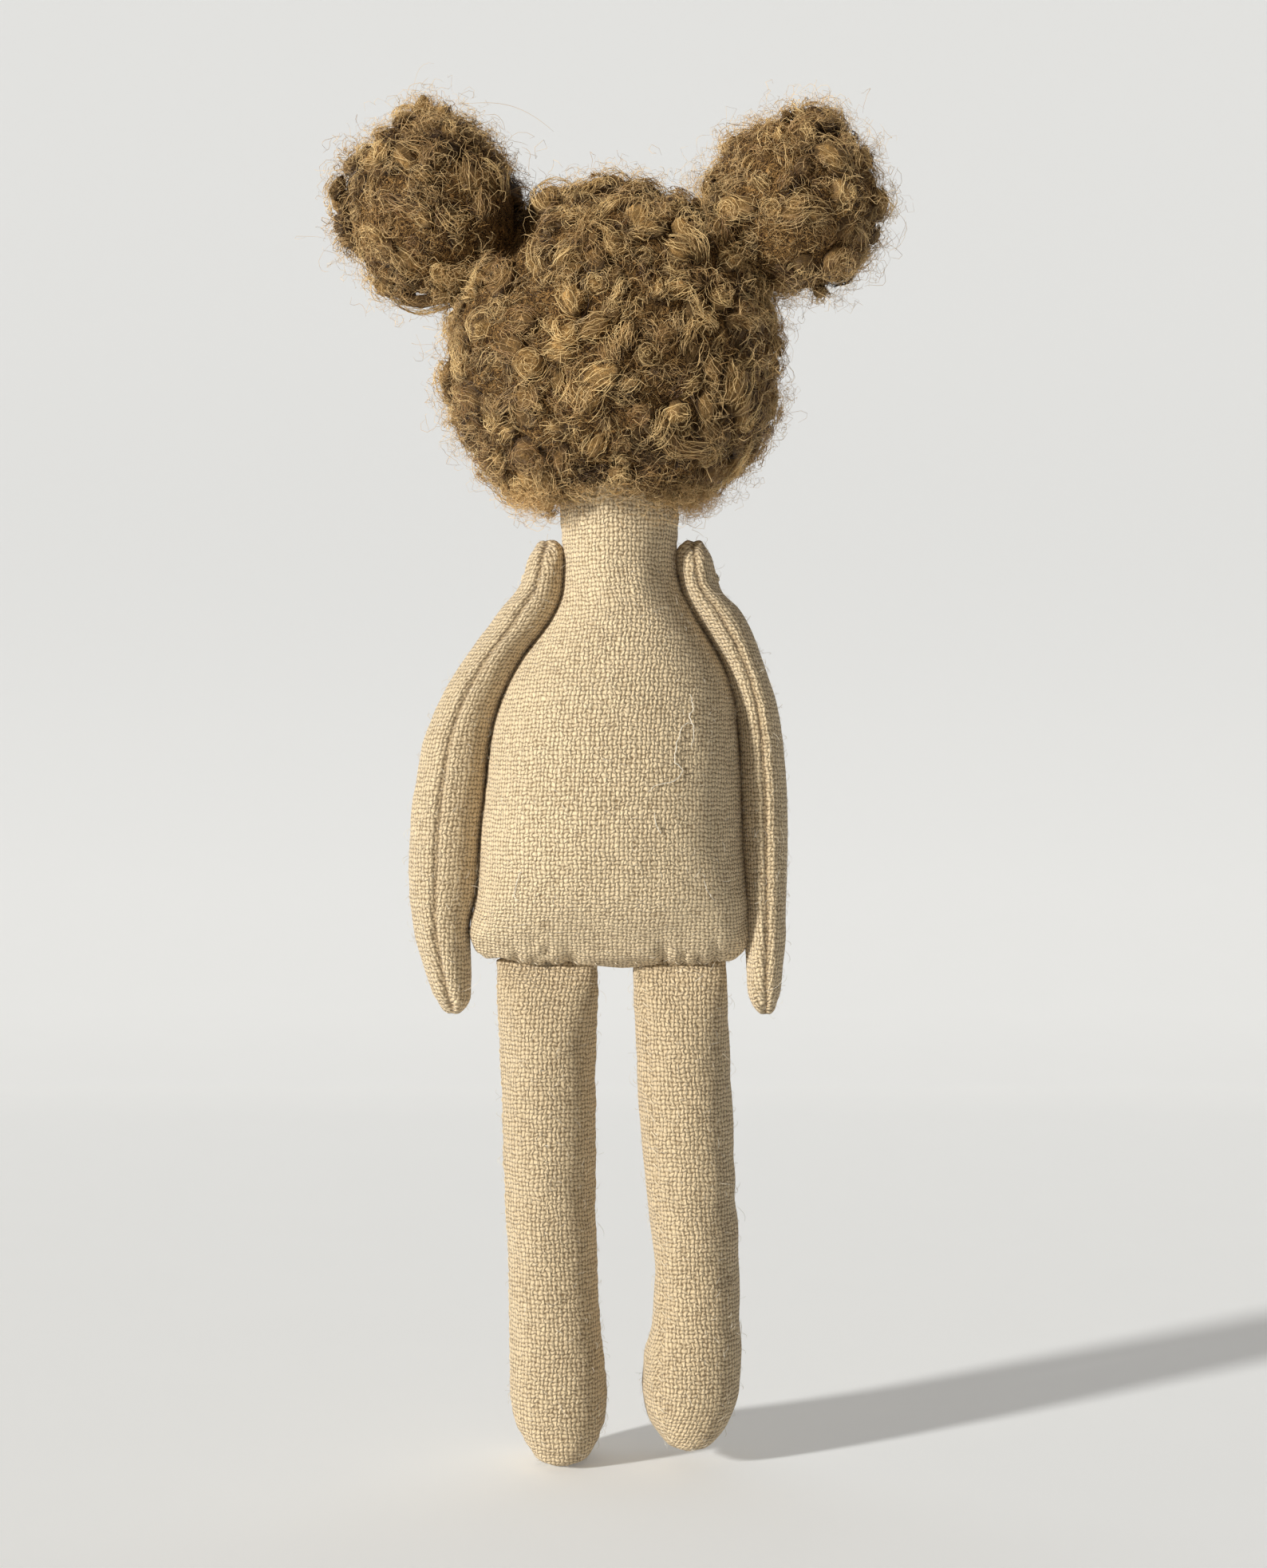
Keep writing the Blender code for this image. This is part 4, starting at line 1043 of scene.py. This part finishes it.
def loose_lines(place, out, count, reach, rng):
    """Single loose hairs that wander over the curls and stand a little out of them."""
    pick = rng.integers(0, len(place), count)
    place, out = place[pick], out[pick]
    along, aside = sideways(out, rng)
    t = np.linspace(0, 1, LOOSE_POINTS)[:, None]

    def chance(low, high):
        return rng.uniform(low, high, (count, 1, 1))

    stand = rng.gamma(1.6, reach / 1.6, (count, 1, 1))
    curl, turns, start = chance(0.25, 0.95), chance(0.6, 1.9) * 2 * math.pi, chance(0, 2 * math.pi)
    travel, part = chance(0.5, 3.6), chance(0.5, 1.0)
    place = place + rng.normal(0, 1.0, (count, 3))
    o, a, b = out[:, None], along[:, None], aside[:, None]
    lines = place[:, None] + a * travel * (t - 0.5) + o * (0.75 + stand * np.sin(math.pi * t * part))
    lines = lines + curl * (np.cos(start + turns * t) * b + 0.7 * np.sin(start + turns * t) * o)
    return (lines + rng.normal(0, 0.05, lines.shape)) * MM


def nape_lines(count, rng):
    """Fluff along the lower edge of the hair."""
    around = rng.uniform(0, 2 * math.pi, count)
    way = ball(math.pi / 2, around)
    polar = hairline(way) + rng.normal(-0.09, 0.04, count)
    out = ball(polar, around)
    beside = (way[:, 1] > -0.35) & ((way[:, 1] < 0.8) | (rng.uniform(0, 1, count) < 0.25))
    place = HAIR_MIDDLE + out * HAIR_HALVES * drawn_under(polar) * 0.98
    return loose_lines(place[beside], out[beside], count, 0.45, rng)


def dress_hair():
    rng = np.random.default_rng(11)
    grown, edge = head_locks(700, rng), edge_locks(84, rng)
    place, out = (np.concatenate(both) for both in zip(grown, edge))
    size = np.repeat((1.06, 0.74), (len(grown[0]), len(edge[0])))
    low = out[:, 2] < 0.15
    behind = out[:, 1] > np.abs(out[:, 0]) * 0.6
    leftwards = out[:, 0] > 0
    parts = {}
    for height, rows in (("lower", low), ("upper", ~low)):
        parts[f"{height}_back"] = rows & behind
        parts[f"{height}_left"] = rows & ~behind & leftwards
        parts[f"{height}_right"] = rows & ~behind & ~leftwards
    grow_curls("hair", place, out, size, HEAD_BEND, parts, rng)
    loose_hair("loose_hair", loose_lines(place, out, 4800, 0.62, rng), rng)
    for side, bun in BUNS.items():
        place, out, size = bun_locks(bun, 205, rng)
        parts = {f"{side}_bun_back": out[:, 1] > 0, f"{side}_bun_front": out[:, 1] <= 0}
        grow_curls(f"{side}_bun", place, out, size, BUN_BEND, parts, rng)
        loose_hair(f"{side}_bun_loose_hair", loose_lines(place, out, 2500, 0.72, rng), rng)
    loose_hair("nape_loose_hair", nape_lines(1200, rng), rng)
    t = np.linspace(0, 1, 24)
    stray = np.stack((17.6 - 10.3 * t, 2.0 + 0 * t, 81.6 + 2.6 * np.sin(2.3 * t) - 5.2 * t), -1)[None] * MM
    loose_hair("long_stray_hair", stray, rng)


def hair_cap_form(angle, share):
    """Matted hair over the head: out along its top, round the hairline, and back along the scalp."""
    outer = share < 0.62
    polar = np.where(outer, share / 0.62, (1 - share) / 0.38) * hairline(ball(math.pi / 2, angle))
    outer = outer[..., None]
    skin = HEAD_HALVES + 0.3
    thin = np.clip((share - 0.5) / 0.12, 0, 1)[..., None] ** 2 * 0.6
    halves = np.where(outer, HAIR_HALVES * drawn_under(polar) * (1 - thin) + skin * thin, skin)
    return (np.where(outer, HAIR_MIDDLE, HEAD_MIDDLE) + ball(polar, angle) * halves) * MM


def finish_mat(mat, height, seed, node):
    """Makes a core of matted hair lumpy."""
    points = read_points(mat)
    push_out(mat, (bumps(points, 380, (seed, 0, 0)) + 0.4 * bumps(points, 380 * 2.7, (0, seed, 0))) * height)
    dressed(mat, HAIR_MAT, (node,))


def matted_hair():
    cap = wrap_cloth("matted_hair_cap", hair_cap_form, 96, 90, 0)
    finish_mat(cap, 0.55, 3, "hair_cap")
    points = read_points(cap)
    hollow = np.minimum(in_recess(points / MM) * 2.5, 1)[:, None]
    write_points(cap, points - unit(points - HAIR_MIDDLE * MM) * hollow * 1.8 * MM)
    for side, bun in BUNS.items():
        bpy.ops.mesh.primitive_uv_sphere_add(segments=56, ring_count=36, radius=bun["radius"] * MM)
        core = renamed(f"{side}_bun_mat")
        bpy.ops.object.shade_smooth()
        out = read_points(core)
        down = out @ unit(bun["seat"] - bun["middle"]) / (bun["radius"] * MM)
        pull = np.clip((down - 0.62) / 0.38, 0, 1)[:, None] ** 1.3
        points, stem = bun["middle"] * MM + out, bun["seat"] * MM + out * 0.55
        write_points(core, points + (stem - points) * pull)
        finish_mat(core, 0.6, 7, f"{side}_bun")


# Threads and stitches


TWIST = 1.1
THREAD_SIDE = (0.21, 0.17, 0.96)
HAIRLINE_STITCHES = 128
NECK_STITCHES = 48


def thread(name, route, thick, nodes=(), finish=SEWING, slot="sewing_thread"):
    """Sewing thread of two twisted plies along a route of points, in metres, of so many millimetres thick."""
    radius = thick * MM
    route = np.array(route, float)
    steps = walked(route)
    places = np.linspace(0, steps[-1], max(int(steps[-1] / (radius * 0.9)), 8))
    line = np.stack([np.interp(places, steps, route[:, k]) for k in range(3)], -1)
    along = unit(np.gradient(line, axis=0))
    aside = unit(np.cross(along, THREAD_SIDE))
    third = np.cross(along, aside)
    turn = (2 * math.pi * places / (TWIST * MM))[:, None]
    plies = [np.cos(turn + ply) * aside + np.sin(turn + ply) * third for ply in (0, math.pi)]
    lines = line + radius * 0.5 * np.array(plies)
    dressed(tubes(name, lines, radius * 0.56, 6, THREAD_SIDE), finish, nodes)


def stitches(name, lines, thick, body):
    dressed(tubes(name, np.array(lines), thick * MM, 5, THREAD_SIDE), SEWING, body=body)


def coil(middle, way, towards, points, per_turn, wide, rise, tall=1.0):
    """Thread wound round a way: its distance and its rise, in millimetres, go from one value to another."""
    k = np.arange(points)
    angle = 2 * math.pi * k / per_turn
    aside = unit(np.cross(way, towards))
    ring = np.outer(np.cos(angle), aside) + tall * np.outer(np.sin(angle), np.cross(way, aside))
    wide, rise = (np.linspace(*ends, points)[:, None] for ends in (wide, rise))
    return middle + MM * (wide * ring + rise * way)


def cloth_tree(obj):
    mesh = obj.data
    return BVHTree.FromPolygons([v.co for v in mesh.vertices], [tuple(p.vertices) for p in mesh.polygons])


def on_cloth(tree, point, lift=0.0):
    """The nearest place on the cloth, and the way out of it, in metres."""
    found, way, _, _ = tree.find_nearest(Vector(point))
    return np.array(found + way * lift * MM), np.array(way)


def seam_stitches(name, cloth, form, seam, body):
    """Small slanted stitches over a seam, each pulled down into the cloth at both ends."""
    tree = cloth_tree(cloth)
    route = form(np.full(400, math.radians(seam)), np.linspace(0.1, 0.85, 400))
    steps = walked(route) / MM
    lines = []
    for step in np.arange(0.6, steps[-1], STITCH_LENGTH):
        k = min(int(np.searchsorted(steps, step)), 398)
        along = unit(route[k + 1] - route[k])
        middle, way = on_cloth(tree, route[k])
        half = MM * (0.375 * unit(np.cross(way, along)) + 0.3 * along)
        lines.append([
            on_cloth(tree, middle + half * (2 * t - 1), 0.12 * math.sin(math.pi * t) - 0.03)[0]
            for t in np.linspace(0, 1, 7)
        ])
    stitches(name, lines, 0.085, body)


def fuzz(name, cloth, count, seed, body):
    """Short fibres that stand out of the linen."""
    rng = np.random.default_rng(seed)
    mesh = cloth.data
    mesh.calc_loop_triangles()
    triangles = np.empty(len(mesh.loop_triangles) * 3, int)
    mesh.loop_triangles.foreach_get("vertices", triangles)
    corners = read_points(cloth)[triangles.reshape(-1, 3)]
    face_way = np.cross(corners[:, 1] - corners[:, 0], corners[:, 2] - corners[:, 0])
    area = np.linalg.norm(face_way, axis=1)
    pick = rng.choice(len(corners), count, p=area / area.sum())
    place = (corners[pick] * rng.dirichlet((1, 1, 1), count)[..., None]).sum(1)
    out = unit(face_way[pick])
    along, aside = (way[:, None] for way in sideways(out, rng))
    t = np.linspace(0, 1, 5)[:, None]
    length = rng.gamma(2.2, 0.26, (count, 1, 1)) + 0.15
    rise = rng.uniform(0.12, 0.75, (count, 1, 1))
    hook = rng.uniform(-0.5, 0.5, (count, 1, 1))
    high = length * rise * np.sin(t * 2.2) - 0.03
    lines = place[:, None] + MM * (along * length * t + out[:, None] * high + aside * length * hook * t**2)
    fine = rng.uniform(0.011, 0.024, count) * MM
    tones = rng.uniform(0, 1, count)
    strand_mesh(name, lines, fine, tones, np.ones(lines.shape[:2]), LINEN_FUZZ, body)


def embroider_face(head):
    """Two eyes, each wound twice round the needle and pulled down to the cloth, and a short mouth."""
    tree = cloth_tree(head)
    for side, x in (("left", 5.5), ("right", -5.5)):
        spot, way = on_cloth(tree, Vector((x, -16.0, 50.0)) * MM)
        way = unit(way)
        route = coil(spot, way, UP, 58, 16, (0.78, 0.36), (0.12, 0.54), -1.05)
        route = np.vstack((route, spot - way * 0.4 * MM))
        thread(f"{side}_eye", route, 0.24, (f"{side}_eye_knot",), EYES, "eye_thread")
    route = []
    for t in np.linspace(-1, 1, 25):
        place = Vector((2.3 * t, -16.0, 44.0 - 0.8 * (1 - t * t))) * MM
        route.append(on_cloth(tree, place, 0.16 - 0.3 * abs(t) ** 12)[0])
    thread("mouth", route, 0.22, ("mouth_stitch",), MOUTH, "mouth_thread")


def closed(route):
    return np.vstack((route, route[:1]))


def sew_threads(cloth):
    k = np.arange(NECK_STITCHES)
    angle = 2 * math.pi * k / NECK_STITCHES
    height = 35.3 - 0.3 * (1 + np.sin(math.pi * k / 2))
    neck = np.stack((-0.4 + 7.3 * np.cos(angle), 6.9 * np.sin(angle), height), -1) * MM
    thread("neck_thread", closed(neck), 0.2, ("neck_stitches",))
    k = np.arange(HAIRLINE_STITCHES)
    angle = 2 * math.pi * k / HAIRLINE_STITCHES
    polar = np.minimum(hairline(ball(math.pi / 2, angle)) + 0.035 + 0.02 * np.sin(math.pi * k / 2), 2.6)
    route = (HEAD_MIDDLE + ball(polar, angle) * (HEAD_HALVES + 0.35)) * MM
    thread("hairline_thread", closed(route), 0.2, ("hairline_stitches",))
    for side, bun in BUNS.items():
        way = unit(bun["middle"] - bun["seat"])
        route = coil(bun["seat"] * MM, way, UP, 49, 16, (6.4, 6.4), (0.2, 1.55))
        thread(f"{side}_bun_thread", route, 0.3, (f"{side}_bun_tie",))
    shoulder_thread(cloth)
    hem_thread(cloth)


def shoulder_thread(cloth):
    """One thread through both arms and the body, knotted flat on the outside of each arm."""
    route = [(x * MM, 0.0, 0.027) for x in (-10.8, -4.0, 4.0, 10.0)]
    thread("shoulder_thread_line", route, 0.36, ("shoulder_thread",))
    for side, x in (("left", 14.0), ("right", -15.0)):
        spot, way = on_cloth(cloth_tree(cloth[f"{side}_arm"]), np.array((x, 0.0, 27.0)) * MM)
        route = coil(spot, way, (0, 1, 0), 44, 14, (0.62, 0.27), (-0.25, 0.05))
        thread(f"{side}_shoulder_knot", route, 0.2)


def hem_thread(cloth):
    """Ladder stitches that close the hem over the tops of the legs."""
    places = ((-13.0, -20.6), (-3.0, -20.4), (-1.4, -19.0), (1.6, -19.0), (3.2, -20.4), (13.4, -20.6))
    thread("hem_thread_line", [(x * MM, 0.0, z * MM) for x, z in places], 0.2, ("hem_thread",))
    tree = cloth_tree(cloth["torso"])
    lines = []
    for face in (1, -1):
        for x in np.arange(-12.2, 13.6, 2.35):
            line = []
            for t in np.linspace(0, 1, 6):
                place = Vector((x + 0.5 * t, face * 2.6, -19.9 + 1.3 * t)) * MM
                line.append(on_cloth(tree, place, 0.1 * math.sin(math.pi * t) + 0.02)[0])
            lines.append(line)
    stitches("hem_stitches", lines, 0.09, "torso")


def stray_fibres(cloth):
    """The few long fibres that cling to the cloth, where the photograph shows them."""
    tree = cloth_tree(cloth["torso"])
    long_one = ((-12.0, 8.7), (-10.7, 9.5), (-9.3, 9.1), (-8.4, 6.8), (-8.0, 4.8), (-9.2, 3.6), (-7.7, 2.1))
    routes = (
        (*long_one, (-5.1, 1.5), (-4.1, 0.8)),
        ((-11.2, 13.2), (-11.7, 11.6), (-10.6, 10.4), (-11.4, 8.0), (-10.6, 6.2)),
        ((-5.0, -1.6), (-5.3, -3.2), (-5.9, -4.5)),
        ((-12.6, -10.4), (-13.4, -12.2), (-14.8, -13.6)),
        ((13.2, -9.4), (14.2, -10.4), (14.6, -12.6), (13.6, -13.6)),
    )
    lines = []
    for route in routes:
        dense = np.linspace(0, len(route) - 1, 28)
        xs, zs = (curve_through(list(enumerate(values)))(dense) for values in zip(*route))
        spots = np.stack((xs, np.full(28, 14.0), zs), -1) * MM
        lines.append([on_cloth(tree, spot, 0.22 + 0.14 * math.sin(3 * k))[0] for k, spot in enumerate(spots)])
    lines = np.array(lines)
    fine, tones = np.full(len(lines), 0.06 * MM), np.ones(len(lines))
    strand_mesh("stray_fibres", lines, fine, tones, np.ones(lines.shape[:2]), LINEN_FUZZ)


# Stage, light and camera


def backdrop():
    """A pale floor that sweeps up behind the doll."""
    bpy.ops.mesh.primitive_plane_add(size=4.0)
    sweep = renamed("backdrop")
    bpy.ops.object.mode_set(mode="EDIT")
    bpy.ops.mesh.select_all(action="SELECT")
    bpy.ops.mesh.subdivide(number_cuts=60)
    bpy.ops.object.mode_set(mode="OBJECT")
    points = read_points(sweep) + (0, -0.4, cad_box[0].z)
    rise = np.clip(-points[:, 1] - 0.35, 0, None)
    points[:, 2] += np.minimum(rise**2 * 2.2, 3.0)
    write_points(sweep, points)
    bpy.ops.object.shade_smooth()
    sweep.data.materials.append(paper_finish())


def sun(name, way, strength, softness, tint=(1, 1, 1)):
    light = bpy.data.lights.new(name, "SUN")
    light.energy = strength
    light.angle = math.radians(softness)
    light.color = tint
    linked(name, light).rotation_euler = Vector(way).to_track_quat("Z", "Y").to_euler()


def light_and_camera():
    """Light from a window at the right of the doll's back, in a pale room that looks cooler than it lights."""
    sun("window", (1.0, 0.74, 0.37), 4.0, 5, (1.0, 0.98, 0.94))
    sun("front_fill", (0.3, -1.0, 0.5), 0.8, 60)
    world = bpy.data.worlds.new("Room")
    bpy.context.scene.world = world
    world.use_nodes = True
    tree = world.node_tree
    seen = add_node(tree, "ShaderNodeLightPath")["Is Camera Ray"]
    room = tree.nodes["Background"].inputs
    tree.links.new((seen * 0.54 + 0.18).socket, room["Strength"])
    tree.links.new(mix(tree, seen, (1.0, 0.9, 0.79), (1.0, 1.0, 0.985)).socket, room["Color"])
    camera = bpy.data.cameras.new("camera")
    camera.lens = 58.25
    camera.sensor_width = 36
    holder = linked("camera", camera)
    holder.location = (-0.0021, 0.300, 0.0017)
    holder.rotation_euler = (math.radians(90), 0, math.radians(180))
    bpy.context.scene.camera = holder
    bpy.context.scene.view_settings.view_transform = "Standard"


cloth = sew_doll()
matted_hair()
dress_hair()
embroider_face(cloth["head"])
sew_threads(cloth)
for side in ARM_FORMS:
    fuzz(f"{side}_arm_fuzz", cloth[f"{side}_arm"], 700, 21, f"{side}_arm")
for side, form in LEG_FORMS.items():
    seam_stitches(f"{side}_leg_stitches", cloth[f"{side}_leg"], form, LEG_SEAMS[side], HIPS[side])
    fuzz(f"{side}_leg_fuzz", cloth[f"{side}_leg"], 1000, 23, HIPS[side])
fuzz("torso_fuzz", cloth["torso"], 1500, 25, "torso")
stray_fibres(cloth)
backdrop()
light_and_camera()
